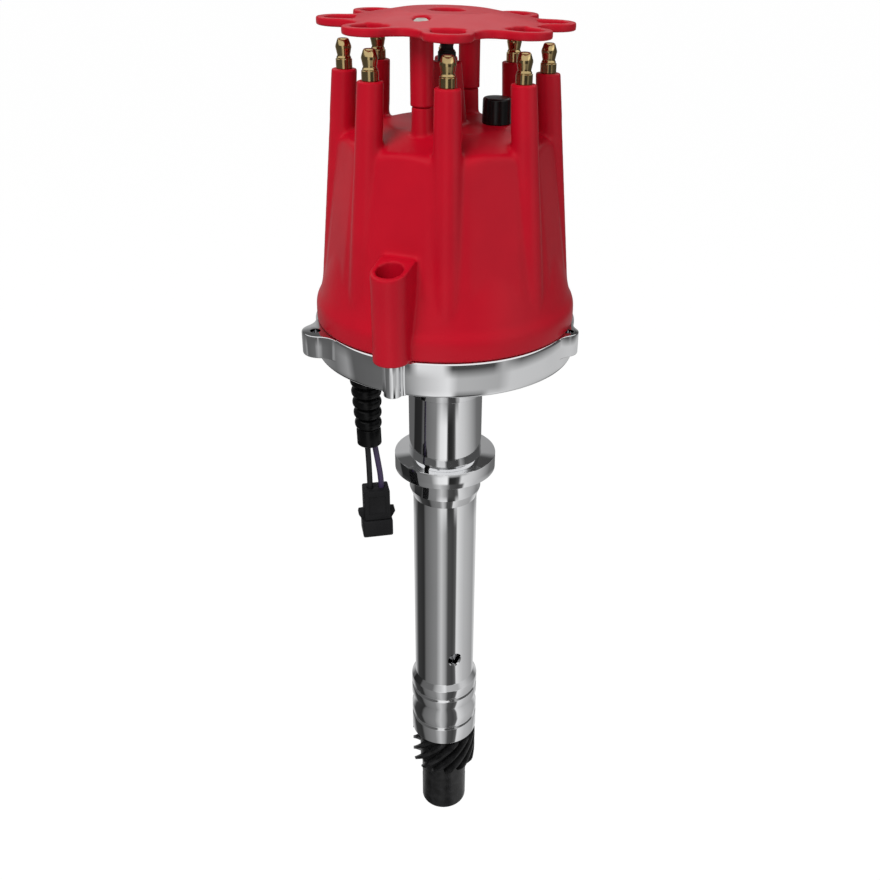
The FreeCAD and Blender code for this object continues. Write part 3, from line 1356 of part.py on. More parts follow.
def make_reluctor(bore):
    """The reluctor: a hub with one tooth for each cylinder, made as a polar pattern."""
    high = S.reluctor_low + S.reluctor_height
    body = turned("reluctor", tube_outline(bore, S.reluctor_hub, S.reluctor_low, high))
    half = S.reluctor_tooth
    outline = [
        (bore + half, -half),
        (S.reluctor_radius, -half),
        (S.reluctor_radius, half),
        (bore + half, half),
    ]
    sketch = sketch_on(body, "reluctor_tooth_outline", "XY_Plane", outline, S.reluctor_low)
    tooth = body.newObject("PartDesign::Pad", "reluctor_tooth_pad")
    tooth.Profile = sketch
    bind(tooth, "Length", S.reluctor_height)
    pattern = body.newObject("PartDesign::PolarPattern", "reluctor_teeth_pattern")
    pattern.Originals = [tooth]
    pattern.Axis = (sketch, ["N_Axis"])
    pattern.Angle = FULL_TURN
    pattern.Occurrences = int(S.reluctor_teeth.value)
    body.Tip = pattern
    finish(put(body, 0, 0, 0, turn=S.boot_azimuth - QUARTER_TURN), "reluctor")


def make_weight(name, pivot_azimuth):
    """A centrifugal weight: a curved mass, its pivot pad and the pad of its drive pin."""
    low, height = WEIGHT_LOW, S.weight_height
    start = pivot_azimuth + S.weight_lead
    mass = cut(
        name + "_mass",
        sector(name + "_outer", S.weight_outer, height, S.weight_sweep, start, low),
        cylinder(name + "_inner", S.weight_inner, height, 0, 0, low),
    )
    pivot_x, pivot_y = polar(S.pivot_place, pivot_azimuth)
    link_x, link_y = polar(S.link_place, pivot_azimuth)
    pad = cylinder(name + "_pivot_pad", S.pivot_pad, height, pivot_x, pivot_y, low)
    nose = cylinder(name + "_link_pad", S.link_pad, height, link_x, link_y, low)
    arm = radial_box(name + "_arm", S.link_place, S.pivot_place, S.link_pad, low, height, pivot_azimuth)
    pivot_way = S.pivot_radius + S.running_gap
    pivot_hole = cylinder(name + "_pivot_hole", pivot_way, height, pivot_x, pivot_y, low)
    link_hole = cylinder(name + "_link_hole", S.link_radius + S.seat_gap, height, link_x, link_y, low)
    web_sweep = S.weight_lead + S.web_overlap
    web_reach = S.pivot_place + S.pivot_radius
    web_outer = sector(name + "_web_outer", web_reach, height, web_sweep, pivot_azimuth, low)
    web_inner = cylinder(name + "_web_inner", S.link_place + S.pivot_radius, height, 0, 0, low)
    bridge = cut(name + "_web", web_outer, web_inner)
    solid = fuse(name + "_solid", mass, pad, nose, arm, bridge)
    finish(cut(name, solid, pivot_hole, link_hole), name)
    pin = cylinder(name + "_pin", S.link_radius, height + S.layer_gap + S.cam_plate, link_x, link_y, low)
    finish(pin, name + "_drive_pin")


def make_driver():
    """The slotted driver plate on the shaft's top, with its spring posts and stop pin."""
    low, height = CAM_LOW, S.cam_plate
    reach = S.cam_reach
    pieces = [
        cylinder("driver_middle", S.cam_hub, height, 0, 0, low),
        radial_box("driver_arm", -reach, reach, S.cam_half_width, low, height, 0),
    ]
    radius = S.spring_post_radius
    angle = S.spring_post_angle
    pieces += slot_plate("driver_spring_arm", S.spring_post_place, radius * 2, low, height, angle)
    post_height = height + S.spring_post_height
    for number, azimuth in enumerate(PIVOT_ANGLES, start=1):
        across, back = polar(S.spring_post_place, azimuth + angle)
        pieces.append(cylinder(f"spring_post_{number}", radius, post_height, across, back, low))
    holes = [cylinder("driver_bore", S.rivet_radius + S.seat_gap, height, 0, 0, low)]
    near, far, radius = S.cam_slot_in, S.cam_slot_out, S.cam_slot_radius
    for number, azimuth in enumerate(PIVOT_ANGLES, start=1):
        for end, place in (("in", near), ("out", far)):
            across, back = polar(place, azimuth)
            holes.append(cylinder(f"driver_slot_{end}_{number}", radius, height, across, back, low))
        holes.append(radial_box(f"driver_slot_{number}", near, far, radius, low, height, azimuth))
    across, back = polar(S.stop_place, PIVOT_ANGLES[0] - S.stop_angle)
    holes.append(cylinder("stop_hole", S.stop_radius + S.seat_gap, height, across, back, low))
    finish(cut("driver_plate", fuse("driver_solid", *pieces), *holes), "driver_plate")
    pin = cylinder("stop_pin_rod", S.stop_radius, CAM_TOP - S.sleeve_top, across, back, S.sleeve_top)
    finish(pin, "stop_pin")
    bushing = turned(
        "stop_bushing",
        tube_outline(S.stop_radius + S.seat_gap, S.stop_bushing_radius, S.sleeve_top, BASE_TOP),
    )
    finish(put(bushing, across, back, 0), "stop_bushing")


def make_springs():
    """The two advance springs, each from a weight's pivot to a post of the driver plate."""
    pivot_x, pivot_y = polar(S.pivot_place, 0)
    post_x, post_y = polar(S.spring_post_place, S.spring_post_angle)
    span = root((pivot_x - post_x) * (pivot_x - post_x) + (pivot_y - post_y) * (pivot_y - post_y))
    pivot_eye = S.pivot_radius + S.spring_wire + S.running_gap
    post_eye = S.spring_post_radius + S.spring_wire + S.running_gap
    for number, azimuth in enumerate(PIVOT_ANGLES, start=1):
        name = f"advance_spring_{number}"
        end_x, end_y = polar(S.pivot_place, azimuth)
        far_x, far_y = polar(S.spring_post_place, azimuth + S.spring_post_angle)
        eyes = []
        rings = (("pivot", pivot_eye, end_x, end_y), ("post", post_eye, far_x, far_y))
        for place, eye, eye_x, eye_y in rings:
            ring = doc.addObject("Part::Torus", f"{name}_{place}_eye")
            bind(ring, "Radius1", eye)
            bind(ring, "Radius2", S.spring_wire)
            eyes.append(put(ring, eye_x, eye_y, SPRING_HEIGHT))
        length = span - pivot_eye - post_eye
        coil = coil_body(name + "_coil", S.spring_radius, length, S.spring_turns)
        start_x = end_x + (far_x - end_x) * (pivot_eye / span)
        start_y = end_y + (far_y - end_y) * (pivot_eye / span)
        heading = FreeCAD.Vector((far_x - end_x).value, (far_y - end_y).value, 0)
        tip_over = UP.cross(heading)
        tip_over.normalize()
        put(coil, start_x, start_y, SPRING_HEIGHT, turn=QUARTER_TURN, axis=tip_over)
        finish(fuse(name, coil, *eyes), name)


def make_rotor():
    """The rotor, its brass contact and the two screws that hold it to its stands."""
    low = STAND_TOP
    disc_top = low + S.rotor_disc_height
    arm_low = ROTOR_TOP - S.rotor_arm_height
    outline = [
        (0, low),
        (S.rotor_disc_radius, low),
        (S.rotor_disc_radius, disc_top),
        (S.rotor_tower_foot, disc_top),
        (S.rotor_tower_radius, arm_low),
        (S.rotor_tower_radius, ROTOR_TOP),
        (0, ROTOR_TOP),
    ]
    azimuth = S.first_tower
    tail = -1 * S.rotor_arm_tail
    reach = CONTACT_TIP - S.contact_tip
    arm = radial_box("rotor_arm", tail, reach, S.rotor_arm_half, arm_low, S.rotor_arm_height, azimuth)
    solid = fuse("rotor_solid", turned("rotor_body", outline), arm)
    ways = []
    way = S.rotor_screw_radius + S.seat_gap
    for number, (radius, direction) in enumerate(stand_places(), start=1):
        across, back = polar(radius, direction)
        ways.append(cylinder(f"rotor_way_{number}", way, S.rotor_disc_height, across, back, low))
    finish(cut("rotor", solid, *ways), "rotor")
    half = S.contact_half
    strip = radial_box("contact_strip", -1 * half, CONTACT_TIP, half, ROTOR_TOP, S.contact_sheet, azimuth)
    blade_height = S.contact_sheet + S.rotor_arm_height / 2
    blade_low = CONTACT_TOP - blade_height
    half = S.contact_tip_half
    blade = radial_box("contact_blade", reach, CONTACT_TIP, half, blade_low, blade_height, azimuth)
    finish(fuse("rotor_contact", strip, blade), "rotor_contact")
    outline = [
        (0, low - S.rotor_screw_grip),
        (S.rotor_screw_radius, low - S.rotor_screw_grip),
        (S.rotor_screw_radius, disc_top),
        (S.rotor_screw_head, disc_top),
        (S.rotor_screw_head, disc_top + S.rotor_screw_radius),
        (0, disc_top + S.rotor_screw_radius),
    ]
    screw = turned("rotor_screw", outline)
    finish(copies("rotor_screws", screw, stand_places()), "rotor_screws")


def make_pickup():
    """The magnetic pickup on its bracket, facing the reluctor's teeth."""
    azimuth = S.boot_azimuth
    thick = S.bracket_plate
    half = S.bracket_half
    plate = radial_box("bracket_plate_box", BRACKET_INNER, BRACKET_OUTER, half, FLOOR, thick, azimuth)
    screws = []
    holes = []
    for number, side in enumerate((-1, 1), start=1):
        across, back = bracket_screw_place(side)
        clear = S.bracket_screw_radius + S.seat_gap
        holes.append(cylinder(f"bracket_way_{number}", clear, thick, across, back, FLOOR))
        low = FLOOR - S.bracket_screw_grip + S.seat_gap
        shank_radius = S.bracket_screw_radius - S.seat_gap
        shank = cylinder(f"bracket_shank_{number}", shank_radius, PICKUP_LOW - low, across, back, low)
        head = cylinder(f"bracket_head_{number}", S.bracket_screw_head, thick, across, back, PICKUP_LOW)
        screws.append(fuse(f"bracket_screw_{number}", shank, head))
    finish(cut("pickup_bracket", plate, *holes), "pickup_bracket")
    finish(group("pickup_screws", *screws), "pickup_screws")
    half, height = S.pickup_half, S.pickup_height
    case = radial_box("pickup_case", PICKUP_INNER, PICKUP_OUTER, half, PICKUP_LOW, height, azimuth)
    tip = S.reluctor_radius + S.pickup_gap
    pole_low = S.reluctor_low + (S.reluctor_height - S.pole_height) / 2
    pole_end = (PICKUP_INNER + PICKUP_OUTER) / 2
    pole = radial_box("pole_bar", tip, pole_end, S.pole_half, pole_low, S.pole_height, azimuth)
    finish(pole, "pickup_pole")
    gap = S.seat_gap
    high = S.pole_height + gap * 2
    pocket = radial_box("pole_pocket", tip, pole_end, S.pole_half + gap, pole_low - gap, high, azimuth)
    finish(cut("pickup_coil_case", case, pocket), "pickup_coil_case")


def boot_outline():
    """The boot: flange, neck in the floor, tapering ridges and a plain cuff."""
    corners = [(S.boot_bore, FLOOR + S.boot_flange_height), (S.boot_bore, boot_end())]
    corners += [(S.boot_cuff, boot_end()), (S.boot_cuff, boot_end() + S.boot_cuff_length)]
    count = int(S.boot_ridges.value)
    half = S.boot_pitch / 2
    for number in range(count - 1, -1, -1):
        share = number / max(count - 1, 1)
        ridge = S.boot_first_ridge + (S.boot_last_ridge - S.boot_first_ridge) * share
        valley = ridge - S.boot_valley
        middle = S.bowl_bottom - S.boot_pitch * number - half
        bend = (S.boot_valley * S.boot_valley + half * half) / (S.boot_valley * 2)
        corners.append((valley, middle - half, bend))
        corners.append((valley, middle + half - S.ridge_gap))
    corners += [(S.boot_neck - S.seat_gap, S.bowl_bottom), (S.boot_neck - S.seat_gap, FLOOR)]
    corners += [(S.boot_flange, FLOOR), (S.boot_flange, FLOOR + S.boot_flange_height)]
    return corners


def boot_end():
    """Height of the boot's lower end."""
    return S.bowl_bottom - S.boot_pitch * S.boot_ridges - S.boot_cuff_length


def make_boot():
    body = turned("cable_boot", boot_outline())
    across, back = polar(BOOT_PLACE, S.boot_azimuth)
    finish(put(body, across, back, 0), "cable_boot")


WIRE_BENDS = [
    (1.5, 0.0, 0.3, 52.0),
    (1.3, 0.0, 0.0, 37.0),
    (1.55, 0.0, -0.2, 24.0),
    (1.9, 1.0, 0.1, 13.5),
]
LAST_BEND = (0.15, 0.1, 5.0)


def wire_route(side):
    """A wire's points from the pickup's underside, through the boot, into the connector.

    A bend is half the wires' distance, a shift along X and along Y from the boot, and a height.
    """
    across, back = polar(BOOT_PLACE, S.boot_azimuth)
    x, y = across.value, back.value
    plug_x = S.plug_across.value + side * S.wire_pitch.value / 2
    end = S.plug_top.value - S.plug_entry.value + S.running_gap.value
    route = [(x + side * S.wire_spread.value, y, PICKUP_LOW.value - S.running_gap.value)]
    for half, shift_x, shift_y, height in WIRE_BENDS:
        route.append((x + side * half + shift_x, y + shift_y, height))
    inward, shift_y, height = LAST_BEND
    route.append((plug_x - inward * side, y + shift_y, height))
    route.append((plug_x, S.plug_back.value, end))
    return route


def rounded_path(points):
    """Straight runs joined by tangent arcs of nearly the largest radius, and the arcs' radii."""
    corners = [FreeCAD.Vector(*point) for point in points]
    edges = []
    radii = []
    here = corners[0]
    for before, corner, after in zip(corners, corners[1:], corners[2:]):
        back = before - corner
        ahead = after - corner
        setback = ARC_SHARE * min(back.Length, ahead.Length)
        half_turn = (math.pi - back.getAngle(ahead)) / 2
        radius = setback / math.tan(half_turn)
        radii.append(radius)
        start = corner + back.normalize() * setback
        end = corner + ahead.normalize() * setback
        bisector = back + ahead
        bisector.normalize()
        centre_distance = radius / math.cos(half_turn)
        middle = corner + bisector * (centre_distance - radius)
        edges.append(Part.LineSegment(here, start).toShape())
        edges.append(Part.Arc(start, middle, end).toShape())
        here = end
    edges.append(Part.LineSegment(here, corners[-1]).toShape())
    return Part.Wire(edges), radii


def make_wire(name, side):
    """One pickup wire as a tube along its route."""
    path, radii = rounded_path(wire_route(side))
    radius = S.wire_radius.value
    start = path.Edges[0].valueAt(path.Edges[0].FirstParameter)
    heading = path.Edges[0].tangentAt(path.Edges[0].FirstParameter)
    section = Part.Wire([Part.Circle(start, heading, radius).toShape()])
    tube = path.makePipeShell([section], True, False)
    wire = doc.addObject("Part::Feature", name)
    wire.Shape = tube
    wire.Placement = FreeCAD.Placement()
    share = tube.Volume / (math.pi * radius * radius * path.Length)
    print(name, "length", round(path.Length, 1), "volume share", round(share, 4))
    print(name, "radii", [round(value, 1) for value in radii])
    finish(wire, name)


def plug_box(name, half_width, half_depth, low, height, centre=0):
    """A box centred on the connector."""
    made = doc.addObject("Part::Box", name)
    bind(made, "Length", half_width * 2)
    bind(made, "Width", half_depth * 2)
    bind(made, "Height", height)
    return put(made, S.plug_across + centre - half_width, S.plug_back - half_depth, low)


def make_connector():
    """The two-way connector: body with latches, an open socket below and two blades."""
    top = S.plug_top
    bottom = top - S.plug_length
    waist = top - S.plug_waist
    upper = plug_box("plug_upper", S.plug_half_width, S.plug_half_depth, waist, S.plug_waist)
    lower = plug_box("plug_lower", S.plug_skirt_half, S.plug_skirt_depth, bottom, waist - bottom)
    latches = plug_box("plug_latches", S.plug_latch, S.plug_latch_half, waist, S.plug_latch_height)
    floor = waist - S.plug_wall
    socket_half = S.plug_skirt_half - S.plug_wall
    socket_depth = S.plug_skirt_depth - S.plug_wall
    socket = plug_box("plug_socket", socket_half, socket_depth, bottom, floor - bottom)
    holes = [socket]
    blades = []
    for number, side in enumerate((-1, 1), start=1):
        offset = S.wire_pitch / 2 * side
        holes.append(
            cylinder(
                f"plug_entry_{number}",
                S.wire_radius + S.plug_entry_gap,
                S.plug_entry,
                S.plug_across + offset,
                S.plug_back,
                top - S.plug_entry,
            )
        )
        length, sheet = S.blade_length, S.blade_half_sheet
        blades.append(plug_box(f"blade_{number}", S.blade_half, sheet, floor - length, length, offset))
    shell = fuse("plug_solid", upper, lower, latches)
    finish(cut("connector_shell", shell, *holes), "connector_shell")
    finish(group("connector_blades", *blades), "connector_blades")


def write_parts():
    """Check every object and sub-part, then write one file for each sub-part."""
    doc.recompute()
    failed = [thing.Name for thing in doc.Objects if "Invalid" in thing.State or "Error" in thing.State]
    failed += [name for name, thing in parts.items() if thing.Shape.isNull() or not thing.Shape.isValid()]
    if failed:
        raise RuntimeError("failed objects: " + ", ".join(failed))
    os.makedirs("parts", exist_ok=True)
    for name, thing in parts.items():
        thing.Shape.exportStep(f"parts/{name}.step")
    print(len(parts), "parts written")


make_housing()
make_bearings()
make_shaft()
make_gear()
make_cap()
make_terminals()
make_screws()
make_vent()
make_retainer()
make_sleeve()
make_weight("weight_a", PIVOT_ANGLES[0])
make_weight("weight_b", PIVOT_ANGLES[1])
make_driver()
make_springs()
make_rotor()
make_pickup()
make_boot()
make_wire("pickup_wire_a", -1)
make_wire("pickup_wire_b", 1)
make_connector()
write_parts()
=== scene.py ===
"""Looks of an engine's ignition distributor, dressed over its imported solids.

Sizes are in millimetres and are scaled to metres where a mesh is made. The origin is the
centre of the hold-down collar's underside, and +Z runs up the shaft. An azimuth counts from
the front (-Y) towards +X, in degrees.
"""

from __future__ import annotations

import json
import logging
import math
from collections.abc import Callable, Iterable, Mapping, Sequence
from dataclasses import dataclass
from enum import Enum
from typing import Any

import bpy
from mathutils import Matrix, Vector

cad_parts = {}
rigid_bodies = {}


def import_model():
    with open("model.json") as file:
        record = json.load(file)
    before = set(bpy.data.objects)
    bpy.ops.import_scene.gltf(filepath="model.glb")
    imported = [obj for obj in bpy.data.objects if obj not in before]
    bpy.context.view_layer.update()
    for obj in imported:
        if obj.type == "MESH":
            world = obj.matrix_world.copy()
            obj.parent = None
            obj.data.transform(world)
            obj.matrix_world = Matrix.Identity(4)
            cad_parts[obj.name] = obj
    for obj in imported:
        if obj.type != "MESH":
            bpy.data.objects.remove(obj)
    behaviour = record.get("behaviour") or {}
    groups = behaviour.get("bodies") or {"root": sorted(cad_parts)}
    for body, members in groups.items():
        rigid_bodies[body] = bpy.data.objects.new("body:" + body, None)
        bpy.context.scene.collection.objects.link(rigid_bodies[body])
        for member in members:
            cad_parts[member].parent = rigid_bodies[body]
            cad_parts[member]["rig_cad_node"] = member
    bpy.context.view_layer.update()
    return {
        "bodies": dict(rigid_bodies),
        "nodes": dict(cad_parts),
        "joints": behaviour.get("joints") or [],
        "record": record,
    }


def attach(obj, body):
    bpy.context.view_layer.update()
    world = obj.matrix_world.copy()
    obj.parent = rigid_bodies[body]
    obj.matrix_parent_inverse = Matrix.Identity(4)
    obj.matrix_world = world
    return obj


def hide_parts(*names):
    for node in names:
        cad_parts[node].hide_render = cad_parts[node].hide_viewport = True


LOG = logging.getLogger("distributor")
MM = 0.001
MERGE_DISTANCE = 0.002 * MM
FULL_TURN = 2 * math.pi
WHITE = (1.0, 1.0, 1.0, 1.0)
NOTHING: Mapping[Any, Any] = {}
Pair = tuple[float, float]
Point3 = tuple[float, float, float]
Colour = tuple[float, float, float]
Piece = bpy.types.Object
Socket = bpy.types.NodeSocket
Material = bpy.types.Material
Weight = Callable[[Vector], float]


def polar(radius: float, azimuth: float) -> Pair:
    """Return X and Y of a point at this radius and azimuth."""
    angle = math.radians(azimuth)
    return radius * math.sin(angle), -radius * math.cos(angle)


def arc(centre: Pair, radius: float, start: float, end: float, steps: int) -> list[Pair]:
    """Points along an arc.

    Args:
        centre: The arc's centre.
        radius: The arc's radius.
        start: Angle of the first point, in radians from +X.
        end: Angle of the last point.
        steps: How many runs the arc is divided into.

    Returns:
        The points, both ends included.
    """
    turns = [start + (end - start) * n / steps for n in range(steps + 1)]
    return [(centre[0] + radius * math.cos(a), centre[1] + radius * math.sin(a)) for a in turns]


class Number:
    """A socket that carries a number, so that Python's operators add Math nodes."""

    def __init__(self, graph: Graph, socket: Socket) -> None:
        """Keep the socket and the graph it belongs to."""
        self.graph = graph
        self.socket = socket

    def combined(self, operation: str, other: Number | float) -> Number:
        """Add one Math node and return its result."""
        made = self.graph.node("Math", {"operation": operation}, {0: self, 1: other})
        return Number(self.graph, made.outputs[0])

    def __add__(self, other: Number | float) -> Number:
        """Add, on either side."""
        return self.combined("ADD", other)

    def __mul__(self, other: Number | float) -> Number:
        """Multiply, on either side."""
        return self.combined("MULTIPLY", other)

    __radd__ = __add__
    __rmul__ = __mul__


class Graph:
    """The nodes of a material or of the world, made and linked from short expressions."""

    def __init__(self, owner: Material | bpy.types.World) -> None:
        """Clear the owner's nodes and give them an output."""
        owner.use_nodes = True
        self.owner = owner
        self.tree = owner.node_tree
        self.tree.nodes.clear()
        kind = "World" if isinstance(owner, bpy.types.World) else "Material"
        self.output = self.node(f"Output{kind}")

    def show(self, shader: bpy.types.Node) -> None:
        """Send a shader to the output."""
        self.feed(self.output.inputs["Surface"], shader.outputs[0])

    def node(self, kind: str, settings: Mapping[str, Any] = NOTHING,
             sockets: Mapping[str | int, Any] = NOTHING) -> bpy.types.Node:
        """Add one node.

        Args:
            kind: The node's type, without ShaderNode before it.
            settings: Properties that are set first. A ramp's stops are (place, colour) pairs.
            sockets: A value, a socket or a Number for each input, by name or place.

        Returns:
            The new node.
        """
        made = self.tree.nodes.new(f"ShaderNode{kind}")
        for name, value in settings.items():
            if name == "stops":
                self.set_stops(made.color_ramp, value)
            else:
                setattr(made, name, value)
        for name, value in sockets.items():
            self.feed(made.inputs[name], value)
        return made

    def set_stops(self, ramp: bpy.types.ColorRamp, stops: Sequence[tuple[float, Colour]]) -> None:
        """Give a ramp its stops in rising order."""
        while len(ramp.elements) < len(stops):
            ramp.elements.new(1.0)
        for element, (place, colour) in zip(ramp.elements, stops):
            element.position = place
            element.color = (*colour, 1.0)

    def feed(self, socket: Socket, value: Any) -> None:
        """Link a socket or Number to an input, or set a plain value on it."""
        if isinstance(value, Number):
            value = value.socket
        if isinstance(value, Socket):
            self.tree.links.new(value, socket)
        else:
            socket.default_value = value

    def apart(self) -> tuple[Socket, bpy.types.Node]:
        """The surface's own place, whole and split into X, Y and Z."""
        coords = self.node("TexCoord").outputs["Object"]
        return coords, self.node("SeparateXYZ", sockets={0: coords})

    def place(self, stretch: Point3 = (1.0, 1.0, 1.0)) -> Socket:
        """The surface's own place, stretched along the axes."""
        coords = self.node("TexCoord").outputs["Object"]
        return self.node("Mapping", sockets={"Vector": coords, "Scale": stretch}).outputs[0]

    def noise(self, scale: float, detail: float = 3.0, stretch: Point3 = (1.0, 1.0, 1.0)) -> Number:
        """A soft random pattern from 0 to 1.

        Args:
            scale: How many of its waves fit in a metre.
            detail: How many finer layers it has.
            stretch: Scale of the pattern along each axis.

        Returns:
            The pattern's value.
        """
        made = self.node("TexNoise", sockets={
            "Vector": self.place(stretch), "Scale": scale, "Detail": detail,
        })
        return Number(self, made.outputs["Fac"])

    def turning_marks(self, scale: float) -> Number:
        """Fine rings about the Z axis, on walls and on flat faces alike."""
        coords, apart = self.apart()
        flat = (1.0, 1.0, 0.0)
        level = self.node("VectorMath", {"operation": "MULTIPLY"}, {0: coords, 1: flat})
        length = self.node("VectorMath", {"operation": "LENGTH"}, {0: level.outputs[0]})
        radius = Number(self, length.outputs["Value"])
        height = Number(self, apart.outputs["Z"])
        made = self.node("TexNoise", {"noise_dimensions": "1D"}, {
            "W": radius + height, "Scale": scale, "Detail": 2.0,
        })
        return Number(self, made.outputs["Fac"])

    def between(self, low: Number, start: float, end: float) -> Number:
        """A pattern spread so that start becomes 0 and end becomes 1, and no further."""
        made = self.node("MapRange", {"clamp": True}, {
            "Value": low, "From Min": start, "From Max": end,
        })
        return Number(self, made.outputs["Result"])

    def blended(self, share: Number, first: Any, second: Any) -> Socket:
        """A colour between two others, each a plain colour or a socket."""
        ends = [(*end, 1.0) if isinstance(end, tuple) else end for end in (first, second)]
        made = self.node("Mix", {"data_type": "RGBA"}, {0: share, 6: ends[0], 7: ends[1]})
        return made.outputs[2]

    def relief(self, height: Number, depth: float, strength: float) -> Socket:
        """A bump from a height pattern."""
        sockets = {"Height": height, "Distance": depth, "Strength": strength}
        return self.node("Bump", sockets=sockets).outputs["Normal"]


class SurfaceGraph(Graph):
    """The nodes of a new material, with one shader on its output."""

    def __init__(self, name: str) -> None:
        """Make the material and its shader."""
        super().__init__(bpy.data.materials.new(name))
        self.shader = self.node("BsdfPrincipled")
        self.show(self.shader)

    def finished(self, **sockets: Any) -> Material:
        """Set the shader's inputs, written with _ for a space, and return the material."""
        for name, value in sockets.items():
            self.feed(self.shader.inputs[name.replace("_", " ").title().replace("Ior", "IOR")], value)
        return self.owner


@dataclass(frozen=True)
class Moulding:
    """Moulded plastic or rubber with a fine grain and a soft change of tone."""

    name: str
    colour: Colour
    shade: Colour
    roughness: float
    grain: float = 0.012
    grain_scale: float = 5200.0
    specular: float = 0.5

    def made(self) -> Material:
        """Build the material."""
        graph = SurfaceGraph(self.name)
        tone = graph.between(graph.noise(38.0, 4.0), 0.35, 0.7)
        grain = graph.noise(self.grain_scale, 2.0)
        waves = graph.noise(210.0, 2.0)
        return graph.finished(
            specular_ior_level=self.specular,
            base_color=graph.blended(tone, self.colour, self.shade),
            roughness=self.roughness + 0.1 * graph.noise(160.0, 3.0) + 0.06 * grain,
            normal=graph.relief(grain + 1.4 * waves, self.grain * MM, 0.6),
        )


@dataclass(frozen=True)
class TurnedMetal:
    """Metal turned on a lathe: fine rings, a few smears, a crisp reflection."""

    name: str
    colour: Colour
    tarnish: Colour
    roughness: float
    marks: float = 0.0016
    ring_scale: float = 5200.0
    wear: float = 0.25
    stretch: float = 0.0
    grain_turn: float = 0.25

    def made(self) -> Material:
        """Build the material."""
        graph = SurfaceGraph(self.name)
        rings = graph.turning_marks(self.ring_scale)
        bands = graph.turning_marks(320.0)
        smears = graph.between(graph.noise(70.0, 5.0, (1.0, 1.0, 0.35)), 0.48, 0.75)
        return graph.finished(
            anisotropic=self.stretch,
            anisotropic_rotation=self.grain_turn,
            base_color=graph.blended(self.wear * smears, self.colour, self.tarnish),
            metallic=1.0,
            roughness=self.roughness + 0.02 * rings + 0.025 * smears,
            normal=graph.relief(rings + 0.5 * bands, self.marks * MM, 0.5),
        )


@dataclass(frozen=True)
class RoughMetal:
    """Pressed, sintered or blackened metal with an uneven, pitted surface."""

    name: str
    colour: Colour
    shade: Colour
    roughness: float
    metallic: float = 1.0
    pits: float = 0.02
    specular: float = 0.5

    def made(self) -> Material:
        """Build the material."""
        graph = SurfaceGraph(self.name)
        tone = graph.between(graph.noise(260.0, 5.0), 0.38, 0.66)
        grain = graph.noise(2600.0, 3.0)
        return graph.finished(
            specular_ior_level=self.specular,
            base_color=graph.blended(tone, self.colour, self.shade),
            metallic=self.metallic,
            roughness=self.roughness + 0.16 * graph.noise(420.0, 3.0),
            normal=graph.relief(grain, self.pits * MM, 0.5),
        )


class Slot(Enum):
    """The record's material slots; each one's value is its finish, under the slot's name."""

    RED = Moulding(
        "red_moulding", (0.490, 0.0025, 0.0155), (0.432, 0.0022, 0.0142), 0.30, specular=0.22,
    )
    BLACK = Moulding(
        "black_plastic", (0.010, 0.010, 0.011), (0.015, 0.015, 0.016), 0.38, 0.02, specular=0.12,
    )
    GLOSS = Moulding(
        "black_gloss_plastic", (0.004, 0.004, 0.004), (0.006, 0.006, 0.006), 0.17, 0.005, specular=0.3,
    )
    RUBBER = Moulding(
        "black_rubber", (0.002, 0.002, 0.0022), (0.004, 0.004, 0.0042), 0.16, 0.010, 2600.0, 0.16,
    )
    WIRE = Moulding(
        "black_insulation", (0.012, 0.012, 0.013), (0.018, 0.018, 0.020), 0.34, 0.01, specular=0.3,
    )
    VIOLET = Moulding("violet_insulation", (0.040, 0.026, 0.072), (0.055, 0.036, 0.095), 0.34, 0.01)
    CARBON = Moulding("carbon", (0.03, 0.03, 0.03), (0.05, 0.05, 0.05), 0.6, 0.02)
    ALUMINIUM = TurnedMetal(
        "polished_aluminium", (0.81, 0.815, 0.825), (0.66, 0.67, 0.69), 0.03, 0.0005, stretch=0.45,
    )
    BRASS = TurnedMetal(
        "turned_brass", (0.52, 0.39, 0.185), (0.26, 0.17, 0.08), 0.14, 0.0014, wear=0.7,
    )
    STEEL = TurnedMetal("ground_steel", (0.56, 0.56, 0.57), (0.40, 0.40, 0.41), 0.22)
    PLATED = RoughMetal("plated_steel", (0.55, 0.54, 0.50), (0.42, 0.41, 0.36), 0.26, 1.0, 0.006)
    IRON = RoughMetal(
        "blackened_iron", (0.010, 0.010, 0.0105), (0.022, 0.022, 0.023), 0.24, 0.2, specular=0.18,
    )
    BRONZE = RoughMetal("sintered_bronze", (0.40, 0.25, 0.12), (0.25, 0.15, 0.08), 0.42, 1.0, 0.03)


class Wardrobe:
    """Makes each finish once and puts it on pieces."""

    def __init__(self) -> None:
        """Start with no material made."""
        self.made: dict[Slot, Material] = {}

    def dress(self, piece: Piece, slot: Slot) -> None:
        """Give a piece one finish all over."""
        if slot not in self.made:
            self.made[slot] = slot.value.made()
        piece.data.materials.clear()
        piece.data.materials.append(self.made[slot])


